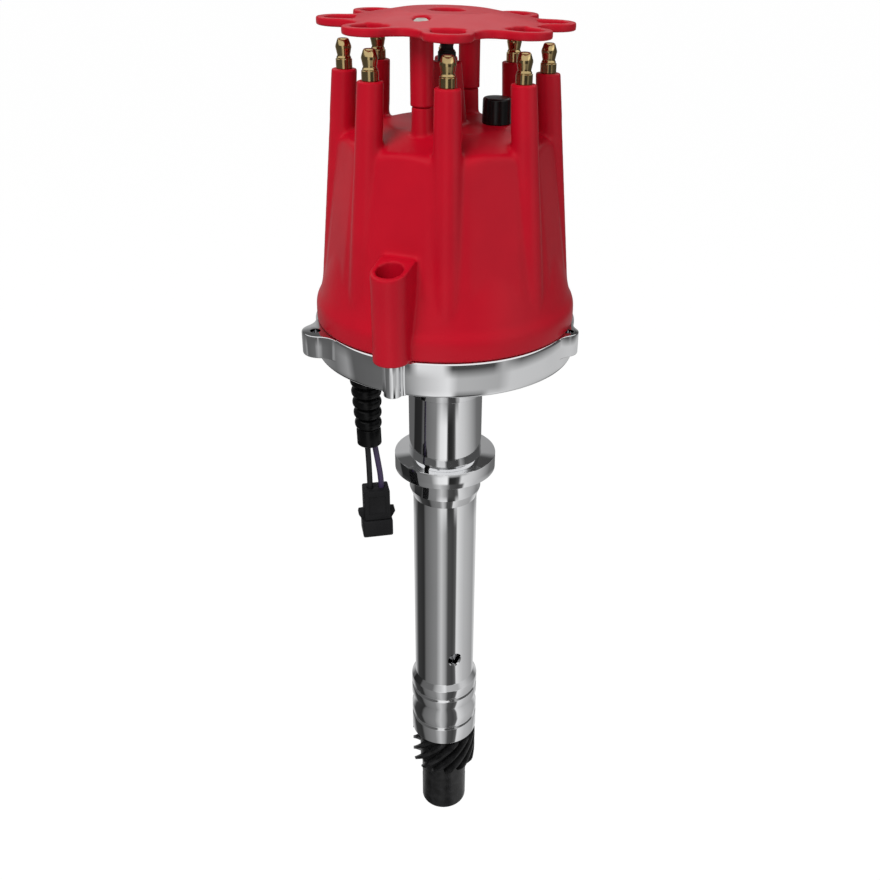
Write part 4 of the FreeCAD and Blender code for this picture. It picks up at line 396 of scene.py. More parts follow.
class Bench:
    """Modelling steps, each done with Blender's own operators."""

    @staticmethod
    def clear() -> None:
        """Leave nothing selected."""
        if bpy.context.mode != "OBJECT":
            bpy.ops.object.mode_set(mode="OBJECT")
        bpy.ops.object.select_all(action="DESELECT")

    @staticmethod
    def pick(piece: Piece) -> None:
        """Select one object alone and make it active."""
        Bench.clear()
        piece.select_set(True)
        bpy.context.view_layer.objects.active = piece

    @staticmethod
    def placed(name: str, data: bpy.types.ID) -> Piece:
        """Put a new object with these data into the scene."""
        piece = bpy.data.objects.new(name, data)
        bpy.context.scene.collection.objects.link(piece)
        return piece

    @staticmethod
    def settle(piece: Piece, name: str) -> Piece:
        """Name a piece and move its place into its mesh."""
        Bench.pick(piece)
        bpy.ops.object.transform_apply(location=True, rotation=True, scale=True)
        piece.name = name
        piece.data.name = name
        return piece

    @staticmethod
    def line(name: str, points: Sequence[Sequence[float]]) -> Piece:
        """Extrude one point into a line and leave it in edit mode, all selected.

        Args:
            name: The piece's name.
            points: The corners, in millimetres.

        Returns:
            The new object.
        """
        Bench.clear()
        bpy.ops.mesh.primitive_plane_add(size=MM)
        piece = bpy.context.object
        piece.name = name
        bpy.ops.object.mode_set(mode="EDIT")
        bpy.ops.mesh.select_all(action="SELECT")
        bpy.ops.mesh.merge(type="CENTER")
        corners = [Vector(p) * MM for p in points]
        bpy.ops.transform.translate(value=corners[0])
        for before, corner in zip(corners, corners[1:]):
            bpy.ops.mesh.extrude_region_move(TRANSFORM_OT_translate={"value": corner - before})
        bpy.ops.mesh.select_all(action="SELECT")
        return piece

    @staticmethod
    def closed(piece: Piece) -> Piece:
        """Merge doubles, turn every face outwards and leave edit mode."""
        bpy.ops.mesh.select_all(action="SELECT")
        bpy.ops.mesh.remove_doubles(threshold=MERGE_DISTANCE)
        bpy.ops.mesh.normals_make_consistent(inside=False)
        bpy.ops.object.mode_set(mode="OBJECT")
        return piece

    @staticmethod
    def lathe(name: str, outline: Sequence[Pair], steps: int = 96) -> Piece:
        """Spin an outline of (radius, height) corners about the Z axis.

        Args:
            name: The piece's name.
            outline: The corners, in millimetres. It is closed where both ends meet the axis
                or each other.
            steps: Faces around.

        Returns:
            The turned piece.
        """
        piece = Bench.line(name, [(radius, 0.0, height) for radius, height in outline])
        bpy.ops.mesh.spin(steps=steps, angle=FULL_TURN, center=(0, 0, 0), axis=(0, 0, 1))
        return Bench.closed(piece)

    @staticmethod
    def prism(name: str, plan: Sequence[Pair], low: float, high: float) -> Piece:
        """Raise a plan outline between two heights, all in millimetres."""
        piece = Bench.line(name, [(x, y, low) for x, y in plan])
        bpy.ops.mesh.edge_face_add()
        bpy.ops.mesh.select_all(action="SELECT")
        bpy.ops.mesh.extrude_region_move(TRANSFORM_OT_translate={"value": (0, 0, (high - low) * MM)})
        return Bench.closed(piece)

    @staticmethod
    def rod(name: str, radius: float, start: Vector, end: Vector, sides: int = 48,
            end_radius: float | None = None) -> Piece:
        """A round rod or cone from one point to another, in millimetres."""
        Bench.clear()
        along = end - start
        last = radius if end_radius is None else end_radius
        bpy.ops.mesh.primitive_cone_add(
            vertices=sides, radius1=radius * MM, radius2=last * MM, depth=along.length * MM,
            location=(start + end) / 2 * MM, rotation=along.to_track_quat("Z", "Y").to_euler(),
        )
        return Bench.settle(bpy.context.object, name)

    @staticmethod
    def block(name: str, low: Sequence[float], high: Sequence[float]) -> Piece:
        """A box between two corners, in millimetres, as a start for further shaping."""
        Bench.clear()
        middle = (Vector(low) + Vector(high)) / 2 * MM
        size = (Vector(high) - Vector(low)) * MM
        bpy.ops.mesh.primitive_cube_add(size=1.0, location=middle, scale=size)
        return Bench.settle(bpy.context.object, name)

    @staticmethod
    def modify(piece: Piece, kind: str, **settings: Any) -> Piece:
        """Add a modifier, set it and apply it."""
        Bench.pick(piece)
        modifier = piece.modifiers.new(kind.title(), kind)
        for name, value in settings.items():
            setattr(modifier, name, value)
        bpy.ops.object.modifier_apply(modifier=modifier.name)
        return piece

    @staticmethod
    def soften(piece: Piece, width: float, segments: int = 2, angle: float = 30.0) -> Piece:
        """Round every edge sharper than an angle, by a width in millimetres."""
        return Bench.modify(
            piece, "BEVEL", width=width * MM, segments=segments, limit_method="ANGLE",
            angle_limit=math.radians(angle), use_clamp_overlap=True, miter_outer="MITER_ARC",
        )

    @staticmethod
    def join_by(piece: Piece, operation: str, *tools: Piece) -> Piece:
        """Unite a piece with tools or cut them out of it, and remove the tools."""
        for tool in tools:
            Bench.modify(piece, "BOOLEAN", operation=operation, solver="EXACT", object=tool)
            bpy.data.objects.remove(tool)
        return piece

    @staticmethod
    def gather(name: str, pieces: Iterable[Piece]) -> Piece:
        """Join pieces into one object."""
        Bench.clear()
        chosen = list(pieces)
        for piece in chosen:
            piece.select_set(True)
        bpy.context.view_layer.objects.active = chosen[0]
        if len(chosen) > 1:
            bpy.ops.object.join()
        return Bench.settle(bpy.context.object, name)

    @staticmethod
    def repeated(piece: Piece, places: Iterable[Matrix]) -> list[Piece]:
        """Copy a piece to places, each copy with its own mesh, and remove the first."""
        copies = []
        for place in places:
            copy = piece.copy()
            copy.data = piece.data.copy()
            bpy.context.scene.collection.objects.link(copy)
            copy.data.transform(place)
            copies.append(copy)
        bpy.data.objects.remove(piece)
        return copies

    @staticmethod
    def smooth(piece: Piece, angle: float = 30.0) -> Piece:
        """Shade smoothly across edges blunter than an angle."""
        Bench.pick(piece)
        bpy.ops.object.shade_smooth_by_angle(angle=math.radians(angle))
        return piece

    @staticmethod
    def copied(node: Piece, name: str) -> Piece:
        """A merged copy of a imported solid, as a start for a finer surface."""
        Bench.clear()
        piece = Bench.placed(name, node.data.copy())
        Bench.pick(piece)
        if piece.data.has_custom_normals:
            bpy.ops.mesh.customdata_custom_splitnormals_clear()
        bpy.ops.object.mode_set(mode="EDIT")
        return Bench.closed(piece)

    @staticmethod
    def weighted(piece: Piece, name: str, weight: Weight) -> None:
        """Store a weight for each point of a mesh, worked out from its place in millimetres."""
        group = piece.vertex_groups.new(name=name)
        for vertex in piece.data.vertices:
            share = weight(vertex.co / MM)
            if share > 0:
                group.add([vertex.index], min(share, 1.0), "REPLACE")

    @staticmethod
    def moulded(node: Piece, name: str, voxel: float, kept: float,
                *rounds: tuple[Weight, int]) -> Piece:
        """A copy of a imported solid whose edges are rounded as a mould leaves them.

        Args:
            node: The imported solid.
            name: The new piece's name.
            voxel: Size of the even faces that the rounding starts from.
            kept: Share of the faces that is kept in the end.
            rounds: A weight from 0 to 1 by place, and how many smoothing passes it takes.

        Returns:
            The rounded piece.
        """
        piece = Bench.copied(node, name)
        Bench.modify(piece, "REMESH", mode="VOXEL", voxel_size=voxel * MM, adaptivity=0.0)
        for weight, passes in rounds:
            Bench.weighted(piece, "share", weight)
            Bench.modify(piece, "SMOOTH", factor=0.5, iterations=passes, vertex_group="share")
            piece.vertex_groups.clear()
        Bench.modify(piece, "DECIMATE", ratio=kept)
        return Bench.smooth(piece, 60.0)


def risen(value: float, start: float, end: float) -> float:
    """How far a value has risen from start to end, from 0 to 1."""
    return min(max((value - start) / (end - start), 0.0), 1.0)


def at_polar(radius: float, azimuth: float) -> Matrix:
    """Move a piece from the axis to a radius and azimuth, in millimetres."""
    x, y = polar(radius, azimuth)
    return Matrix.Translation((x * MM, y * MM, 0.0))


@dataclass(frozen=True)
class Layout:
    """Heights and places that several sub-assemblies share."""

    rim: float = 72.1
    bowl_floor: float = 64.2
    bowl_bottom: float = 58.2
    screw_place: float = 53.6
    screw_azimuths: Pair = (-21.5, 158.5)
    boot: Pair = (38.4, -56.5)


LAYOUT = Layout()


class SubAssembly:
    """A group of pieces that are built, dressed and set on one moving body."""

    body = "housing_group"

    def __init__(self, frame: dict[str, Any], wardrobe: Wardrobe) -> None:
        """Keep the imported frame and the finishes."""
        self.frame = frame
        self.wardrobe = wardrobe

    def add(self, piece: Piece, slot: Slot, *nodes: str) -> Piece:
        """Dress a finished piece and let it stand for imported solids.

        Args:
            piece: The finished piece.
            slot: Its finish.
            nodes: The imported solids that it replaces.

        Returns:
            The same piece.
        """
        self.wardrobe.dress(piece, slot)
        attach(piece, self.body)
        if nodes:
            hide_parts(*nodes)
        LOG.info("%s: %d faces", piece.name, len(getattr(piece.data, "polygons", [])))
        return piece

    def keep(self, slot: Slot, *nodes: str) -> None:
        """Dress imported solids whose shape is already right."""
        for node in nodes:
            self.wardrobe.dress(self.frame["nodes"][node], slot)
            LOG.info("%s: packed solid in %s", node, slot.value.name)


@dataclass(frozen=True)
class Ear:
    """A round-ended ear on the bowl's ring."""

    azimuth: float
    place: float
    radius: float
    blend: float
    height: float
    edge: float = 0.4

    def plan(self, ring: float, buried: float) -> list[Pair]:
        """The ear from above: a round end that two hollow arcs join to the ring.

        Args:
            ring: The ring's radius.
            buried: Radius of the ear's root inside the ring.

        Returns:
            The outline's corners.
        """
        reach = ring + self.blend
        joint = self.radius + self.blend
        swing = math.degrees(math.acos((reach**2 + self.place**2 - joint**2) / (2 * reach * self.place)))
        end = polar(self.place, self.azimuth)
        low, high = (polar(reach, self.azimuth + swing * side) for side in (-1, 1))
        points = [polar(buried, self.azimuth - swing)]
        points += self.bend(low, polar(ring, self.azimuth - swing), self.touch(end, low), -1)
        points += self.bend(end, self.touch(end, low), self.touch(end, high), 1, 18)[1:]
        points += self.bend(high, self.touch(end, high), polar(ring, self.azimuth + swing), -1)[1:]
        points.append(polar(buried, self.azimuth + swing))
        return points

    def touch(self, end: Pair, blend: Pair) -> Pair:
        """Where the round end meets one of its hollow arcs."""
        share = self.radius / (self.radius + self.blend)
        return end[0] + (blend[0] - end[0]) * share, end[1] + (blend[1] - end[1]) * share

    @staticmethod
    def bend(centre: Pair, start: Pair, end: Pair, side: int, steps: int = 8) -> list[Pair]:
        """An arc about a centre, turning left where side is 1 and right where it is -1."""
        first = math.atan2(start[1] - centre[1], start[0] - centre[0])
        last = math.atan2(end[1] - centre[1], end[0] - centre[0])
        turn = (last - first) * side % FULL_TURN * side
        radius = math.hypot(start[0] - centre[0], start[1] - centre[1])
        return arc(centre, radius, first, first + turn, steps)


@dataclass
class HousingShape:
    """Radii and heights of the turned housing, with its ears and holes."""

    steps: int = 160
    edge: float = 0.22
    ring: float = 52.6
    ring_wall: float = 4.7
    ring_curve: float = 1.2
    rim_bevel: float = 0.6
    hub: float = 16.8
    hub_low: float = 38.2
    neck: float = 15.75
    neck_line: float = 11.0
    neck_line_half: float = 0.12
    neck_line_depth: float = 0.14
    collar: float = 22.1
    collar_top: float = 7.15
    shoulder: float = 15.85
    shoulder_low: float = -10.0
    stem: float = 14.25
    stem_top: float = -14.5
    stem_low: float = -117.0
    stem_end: float = -154.8
    end_bevel: float = 0.5
    land: float = 16.1
    land_tops: Pair = (-138.5, -120.0)
    groove_tops: Pair = (-142.9, -124.4)
    groove_depth: float = 1.0
    groove_heights: tuple[float, ...] = (2.4, 1.7, 0.7, 0.0)
    waist: float = 15.2
    waist_heights: Pair = (-135.5, -131.5)
    bearing_seat: float = 14.29
    bearing_low: float = 54.44
    snap_groove: float = 15.09
    snap_heights: Pair = (62.4, 63.4)
    relief: float = 11.89
    relief_low: float = 52.04
    bore: float = 7.95
    bushing_bore: float = 8.8
    bushing_top: float = -114.8
    ears: tuple[Ear, ...] = (
        Ear(-67.0, 53.0, 7.2, 9.0, 9.0),
        Ear(68.0, 50.5, 5.8, 9.0, 9.0),
        *(Ear(azimuth, LAYOUT.screw_place, 3.3, 1.6, 13.9, 1.1) for azimuth in LAYOUT.screw_azimuths),
    )
    hole: float = 2.1
    ear_holes: tuple[Pair, ...] = ((55.0, -67.0), (52.4, 68.0))
    ear_hole_depth: float = 9.5
    screw_hole_depth: float = 11.0
    boot_hole: float = 4.9
    boot_hole_low: float = 50.0
    oil_height: float = -101.65
    oil_azimuth: float = 21.0
    oil_way: float = 3.15
    oil_mouth: float = 4.2

    def outline(self) -> list[Pair]:
        """The wall's section, from the bore's lower end round the outside and back down the bore."""
        return [*self.foot(), *self.middle(), *self.bowl(), *self.bores()]

    def foot(self) -> list[Pair]:
        """The two grooved lands with the waist between them, listed upwards."""
        land, end, bevel = self.land, self.stem_end, self.end_bevel
        points = [(self.bushing_bore, end), (land - bevel, end), (land, end + bevel)]
        points += [*self.groove(self.groove_tops[0]), (land, self.land_tops[0])]
        points += [(self.waist, height) for height in self.waist_heights]
        points += [(land, self.waist_heights[1]), *self.groove(self.groove_tops[1])]
        return [*points, (land, self.land_tops[1]), (self.stem, self.stem_low)]

    def groove(self, top: float) -> list[Pair]:
        """The shallow groove of a land, listed upwards."""
        floor = self.land - self.groove_depth
        radii = (self.land, floor, floor, self.land)
        return [(radius, top - drop) for radius, drop in zip(radii, self.groove_heights)]

    def middle(self) -> list[Pair]:
        """The stem's top, the shoulder, the hold-down collar, the neck and the hub."""
        points = [(self.stem, self.stem_top), (self.shoulder, self.shoulder_low), (self.shoulder, 0.0)]
        points += [(self.collar, 0.0), (self.collar, self.collar_top), (self.neck, self.collar_top)]
        points += [(self.neck, self.hub_low), (self.hub, self.hub_low)]
        return [*points, (self.hub, LAYOUT.bowl_bottom)]

    def bowl(self) -> list[Pair]:
        """The bowl's ring, up its outside and down to its floor."""
        ring, curve, bevel, rim = self.ring, self.ring_curve, self.rim_bevel, LAYOUT.rim
        inside = ring - self.ring_wall
        points = arc((ring - curve, LAYOUT.bowl_bottom + curve), curve, -math.pi / 2, 0.0, 8)
        points += [(ring, rim - bevel), (ring - bevel, rim)]
        return [*points, (inside, rim), (inside, LAYOUT.bowl_floor)]

    def bores(self) -> list[Pair]:
        """The bearing's seat with its snap ring groove, then the shaft's and the bushing's bores."""
        seat = self.bearing_seat
        low, high = self.snap_heights
        points = [(seat, LAYOUT.bowl_floor), (seat, high), (self.snap_groove, high)]
        points += [(self.snap_groove, low), (seat, low), (seat, self.bearing_low)]
        points += [(self.relief, self.bearing_low), (self.relief, self.relief_low)]
        points += [(self.bore, self.relief_low), (self.bore, self.bushing_top)]
        return [*points, (self.bushing_bore, self.bushing_top), (self.bushing_bore, self.stem_end)]

    def neck_cut(self) -> list[Pair]:
        """Section of the tool that cuts the fine line round the neck."""
        inside, outside = self.neck - self.neck_line_depth, self.neck + 1.0
        low, high = self.neck_line - self.neck_line_half, self.neck_line + self.neck_line_half
        return [(inside, low), (outside, low), (outside, high), (inside, high), (inside, low)]


class Housing(SubAssembly):
    """The housing: one polished piece with its bowl, ears, collar and grooved lands."""

    shape = HousingShape()

    def build(self) -> None:
        """Turn the housing, add its ears and drill it."""
        shape = self.shape
        piece = Bench.lathe("housing_turned", shape.outline(), shape.steps)
        Bench.soften(piece, shape.edge, 3, 25.0)
        Bench.join_by(piece, "DIFFERENCE", Bench.lathe("neck_line", shape.neck_cut(), shape.steps))
        for number, ear in enumerate(shape.ears):
            plan = ear.plan(shape.ring, shape.ring - shape.ring_wall / 2)
            lug = Bench.prism(f"ear_{number}", plan, LAYOUT.rim - ear.height, LAYOUT.rim - 0.01)
            Bench.join_by(piece, "UNION", Bench.soften(lug, ear.edge, 6, 50.0))
        for hole in shape.ear_holes:
            self.drill(piece, hole, shape.hole, LAYOUT.rim - shape.ear_hole_depth)
        for azimuth in LAYOUT.screw_azimuths:
            place = (LAYOUT.screw_place, azimuth)
            self.drill(piece, place, shape.hole, LAYOUT.rim - shape.screw_hole_depth)
        self.drill(piece, LAYOUT.boot, shape.boot_hole, shape.boot_hole_low)
        self.drill_oil_way(piece)
        Bench.smooth(Bench.settle(piece, "housing_turned"), 17.0)
        self.add(piece, Slot.ALUMINIUM, "housing")

    @staticmethod
    def drill(piece: Piece, place: Pair, radius: float, low: float) -> None:
        """Drill an upright hole, at a radius and azimuth, from a height up through the rim."""
        x, y = polar(*place)
        tool = Bench.rod("drill", radius, Vector((x, y, low)), Vector((x, y, LAYOUT.rim + 1)), 32)
        Bench.join_by(piece, "DIFFERENCE", tool)

    def drill_oil_way(self, piece: Piece) -> None:
        """Drill the oil way into the stem and bevel its mouth."""
        shape = self.shape
        axis = Vector((*polar(1.0, shape.oil_azimuth), 0.0))
        middle = Vector((0.0, 0.0, shape.oil_height))
        mouth = (middle + axis * (shape.stem - 0.7), middle + axis * (shape.stem + 0.5))
        Bench.join_by(
            piece, "DIFFERENCE",
            Bench.rod("oil_way", shape.oil_way, middle, middle + axis * 20, 40),
            Bench.rod("oil_bevel", shape.oil_way, *mouth, 40, shape.oil_mouth),
        )


@dataclass
class CapShape:
    """Where the moulded cap's edges are rounded, and how far; a pair is a start and an end."""

    voxel: float = 0.50
    kept: float = 0.26
    passes: int = 50
    flare_passes: int = 80
    skirt: Pair = (74.5, 78.5)
    flare_end: Pair = (84.0, 90.0)
    flare_radii: Pair = (48.0, 49.2)
    outside: Pair = (29.0, 32.0)
    deck: Pair = (136.1, 140.1)
    deck_share: float = 0.6
    crown: Pair = (147.6, 150.6)
    least: float = 0.1
    pocket: Pair = (5.4, 6.6)
    pocket_share: float = 0.06
    boss: Pair = (8.0, 11.0)
    boss_top: float = 103.0
    boss_back: float = 46.5
    boss_share: float = 0.08


@dataclass
class VentShape:
    """Sizes of the vent plug in the deck."""

    place: Pair = (18.7, 82.0)
    foot: float = 141.1
    seat: float = 148.0
    top: float = 157.3
    stem: float = 2.8
    head: float = 5.4
    bevel: float = 0.3
    draft: float = 0.15
    curve: float = 1.0

    def outline(self) -> list[Pair]:
        """The plug's section, from the axis at its foot to the axis at its top."""
        middle = (self.head - self.draft - self.curve, self.top - self.curve)
        points = [(0.0, self.foot), (self.stem, self.foot), (self.stem, self.seat)]
        points += [(self.head - self.bevel, self.seat), (self.head, self.seat + self.bevel)]
        return [*points, *arc(middle, self.curve, 0.0, math.pi / 2, 6), (0.0, self.top)]


class Cap(SubAssembly):
    """The moulded cap, its vent plug and the screws that hold it."""

    shape = CapShape()
    vent = VentShape()

    def build(self) -> None:
        """Round the cap's moulded edges and make the small pieces on it."""
        shape = self.shape
        rounds = ((self.blend, shape.passes), (self.flare, shape.flare_passes))
        node = self.frame["nodes"]["cap"]
        self.add(Bench.moulded(node, "cap_moulding", shape.voxel, shape.kept, *rounds), Slot.RED, "cap")
        plug = Bench.lathe("vent_cap", self.vent.outline(), 56)
        (placed,) = Bench.repeated(plug, [at_polar(*self.vent.place)])
        self.add(Bench.smooth(Bench.settle(placed, "vent_cap")), Slot.GLOSS, "vent_plug")
        self.keep(Slot.PLATED, "cap_screws")

    @staticmethod
    def to_screws(place: Vector) -> list[float]:
        """How far a place is from the axis of each cap screw."""
        centres = [polar(LAYOUT.screw_place, azimuth) for azimuth in LAYOUT.screw_azimuths]
        return [math.hypot(place.x - x, place.y - y) for x, y in centres]

    def blend(self, place: Vector) -> float:
        """How far the ridges, deck and bosses are smoothed at a place, from 0 to 1."""
        shape = self.shape
        radius = math.hypot(place.x, place.y)
        outwards = max(risen(radius, *shape.outside), shape.deck_share * risen(place.z, *shape.deck))
        towers = 1 - (1 - shape.least) * risen(place.z, *shape.crown)
        share = max(shape.least, risen(place.z, *shape.skirt) * towers * outwards)
        for near in self.to_screws(place):
            rim = risen(near, *shape.pocket)
            share = min(share, shape.pocket_share + (1 - shape.pocket_share) * rim)
            if near < shape.boss[1] and place.z > shape.boss_top and radius > shape.boss_back:
                share = min(share, shape.boss_share)
        return share

    def flare(self, place: Vector) -> float:
        """How far the step above the flange is smoothed into a flare, from 0 to 1."""
        shape = self.shape
        share = risen(place.z, *shape.skirt) * (1 - risen(place.z, *shape.flare_end))
        share *= risen(math.hypot(place.x, place.y), *shape.flare_radii)
        return share * math.prod(risen(near, *shape.boss) for near in self.to_screws(place))


@dataclass
class TerminalShape:
    """Heights and radii of one push-on terminal."""

    foot: float
    seat: float
    height: float
    collar: float
    neck: float
    bulb: float
    tip: float
    insert: float = 2.4
    collar_height: float = 3.7
    neck_rise: float = 0.6
    neck_drop: float = 2.4
    bulb_drop: float = 3.1

    def outline(self) -> list[Pair]:
        """The terminal's section: insert, collar with its lip, waisted neck and round bulb."""
        collar, neck, bulb, tip, insert = self.collar, self.neck, self.bulb, self.tip, self.insert
        top = self.seat + self.height
        lip = self.seat + self.collar_height
        wide = top - self.bulb_drop
        waist = (lip + self.neck_rise, wide - self.neck_drop)
        points = [(0.0, self.foot), (insert - 0.2, self.foot), (insert, self.foot + 0.2)]
        points += [(insert, self.seat), (collar - 0.15, self.seat), (collar, self.seat + 0.15)]
        points += [(collar, lip - 0.5), (collar - 0.15, lip - 0.35)]
        points += [(collar - 0.4, lip - 0.3), (collar - 0.4, lip - 0.1), (collar - 0.25, lip)]
        points += [(neck + 0.15, waist[0] - 0.15), (neck, waist[0] + 0.2), (neck, waist[1] - 0.2)]
        points += [(neck + 0.12, waist[1] + 0.2), (bulb - 0.1, wide - 0.45), (bulb, wide - 0.15)]
        points += [(bulb, wide + 0.3), (bulb - 0.12, wide + 0.75), (tip + 0.1, top - 0.6)]
        points += [(tip - 0.12, top - 0.25), (tip - 0.45, top - 0.07), (tip - 0.9, top)]
        return [*points, (0.0, top)]


class Terminals(SubAssembly):
    """The spark terminals, the coil terminal and the brush under it."""

    circle = 37.14
    first = 0.5
    count = 8
    spark = TerminalShape(117.1, 165.8, 10.3, 2.95, 2.3, 2.87, 2.05)
    coil = TerminalShape(138.9, 169.0, 10.8, 3.3, 2.3, 3.1, 2.3)

    def build(self) -> None:
        """Turn one spark terminal, copy it to each tower, and turn the coil terminal."""
        terminal = Bench.lathe("spark_tip", self.spark.outline(), 40)
        step = 360 / self.count
        places = [at_polar(self.circle, self.first + step * n) for n in range(self.count)]
        tips = Bench.gather("spark_tips", Bench.repeated(terminal, places))
        self.add(Bench.smooth(tips), Slot.BRASS, "spark_terminals")
        coil = Bench.settle(Bench.lathe("coil_tip", self.coil.outline(), 40), "coil_tip")
        self.add(Bench.smooth(coil), Slot.IRON, "coil_terminal")
        self.keep(Slot.CARBON, "carbon_brush")
        self.keep(Slot.PLATED, "brush_spring")


@dataclass
class RetainerShape:
    """How far the wire retainer's edges are rounded."""

    voxel: float = 0.42
    kept: float = 0.5
    passes: int = 16
    plate_low: float = 158.0
    post_share: float = 0.2


class Retainer(SubAssembly):
    """The wire retainer on its two posts, with its screws."""

    shape = RetainerShape()

    def build(self) -> None:
        """Round the retainer's rims as its mould leaves them."""
        shape = self.shape
        rounds = (lambda place: 1.0 if place.z > shape.plate_low else shape.post_share, shape.passes)
        node = self.frame["nodes"]["wire_retainer"]
        piece = Bench.moulded(node, "retainer_moulding", shape.voxel, shape.kept, rounds)
        self.add(piece, Slot.RED, "wire_retainer")
        self.keep(Slot.PLATED, "retainer_screws")


@dataclass
class BootShape:
    """Sizes of the ribbed boot and its cuff."""

    ridges: int = 6
    pitch: float = 4.75
    first_ridge: float = 6.5
    last_ridge: float = 5.5
    valley: float = 2.0
    fullness: float = 0.8
    steps: int = 9
    cuff: float = 5.0
    cuff_length: float = 7.5
    cuff_bevel: float = 0.5
    neck: float = 4.88
    flange: float = 6.4
    flange_height: float = 1.3
    bore: float = 3.2
    lean: float = 0.022
    lean_top: float = 56.0

    def outline(self) -> list[Pair]:
        """The boot's section, from the cuff's mouth up over the ridges to the flange."""
        low = LAYOUT.bowl_bottom - self.pitch * self.ridges - self.cuff_length
        top = low + self.cuff_length
        points = [(self.bore, low), (self.cuff - self.cuff_bevel, low), (self.cuff, low + self.cuff_bevel)]
        points += [(self.cuff, top - 0.8), (self.cuff - self.cuff_bevel, top - 0.1)]
        for number in reversed(range(self.ridges)):
            points += self.ridge(number)
        head = LAYOUT.bowl_floor + self.flange_height
        points += [(self.neck, LAYOUT.bowl_bottom), (self.neck, LAYOUT.bowl_floor)]
        points += [(self.flange, LAYOUT.bowl_floor), (self.flange, head)]
        return [*points, (self.bore, head), (self.bore, low)]

    def ridge(self, number: int) -> list[Pair]:
        """One round ridge, listed upwards; the first one is under the bowl."""
        share = number / (self.ridges - 1)
        crest = self.first_ridge + (self.last_ridge - self.first_ridge) * share
        middle = LAYOUT.bowl_bottom - self.pitch * (number + 0.5)
        points = []
        for step in range(self.steps):
            swing = 2 * step / (self.steps - 1) - 1
            bulge = math.sqrt(1 - (swing * 0.96) ** 2) ** self.fullness
            points.append((crest - self.valley * (1 - bulge), middle + swing * self.pitch * 0.46))
        return points


@dataclass
class PlugShape:
    """Sizes of the two-way connector; a half is half a width and half a depth."""

    place: Pair = (-29.4, -21.2)
    turn: float = 11.0
    top: float = 1.0
    waist: float = -13.4
    low: float = -21.4
    upper_half: Pair = (5.5, 4.2)
    lower_half: Pair = (6.4, 4.9)
    socket_half: Pair = (5.3, 3.8)
    socket_roof: float = 1.1
    panel_half: Pair = (3.6, 5.2)
    panel_floor: float = 3.85
    panel_margins: Pair = (3.2, 2.4)
    latch: tuple[Pair, ...] = ((5.0, 0.0), (6.3, 0.0), (7.9, 2.9), (7.6, 4.4), (5.0, 4.6))
    latch_half: float = 1.8
    latch_drop: float = 0.6
    pitch: float = 4.8
    entry: float = 1.5
    entry_depth: float = 3.0
    blade_half: Pair = (0.9, 0.3)
    blade_margins: Pair = (0.8, 0.9)

    def turned(self) -> Matrix:
        """The connector's turn about its own upright axis."""
        there = Matrix.Translation((self.place[0] * MM, self.place[1] * MM, 0.0))
        return there @ Matrix.Rotation(math.radians(self.turn), 4, "Z") @ there.inverted()

    def box(self, name: str, half: Pair, low: float, high: float,
            shift: float = 0.0) -> Piece:
        """An upright block about the connector's axis, shifted sideways."""
        x, y = self.place[0] + shift, self.place[1]
        return Bench.block(name, (x - half[0], y - half[1], low), (x + half[0], y + half[1], high))


@dataclass
class WireShape:
    """Sizes and lengths of the pickup's two wires."""

    radius: float = 1.2
    lengths: Pair = (66.2, 66.4)


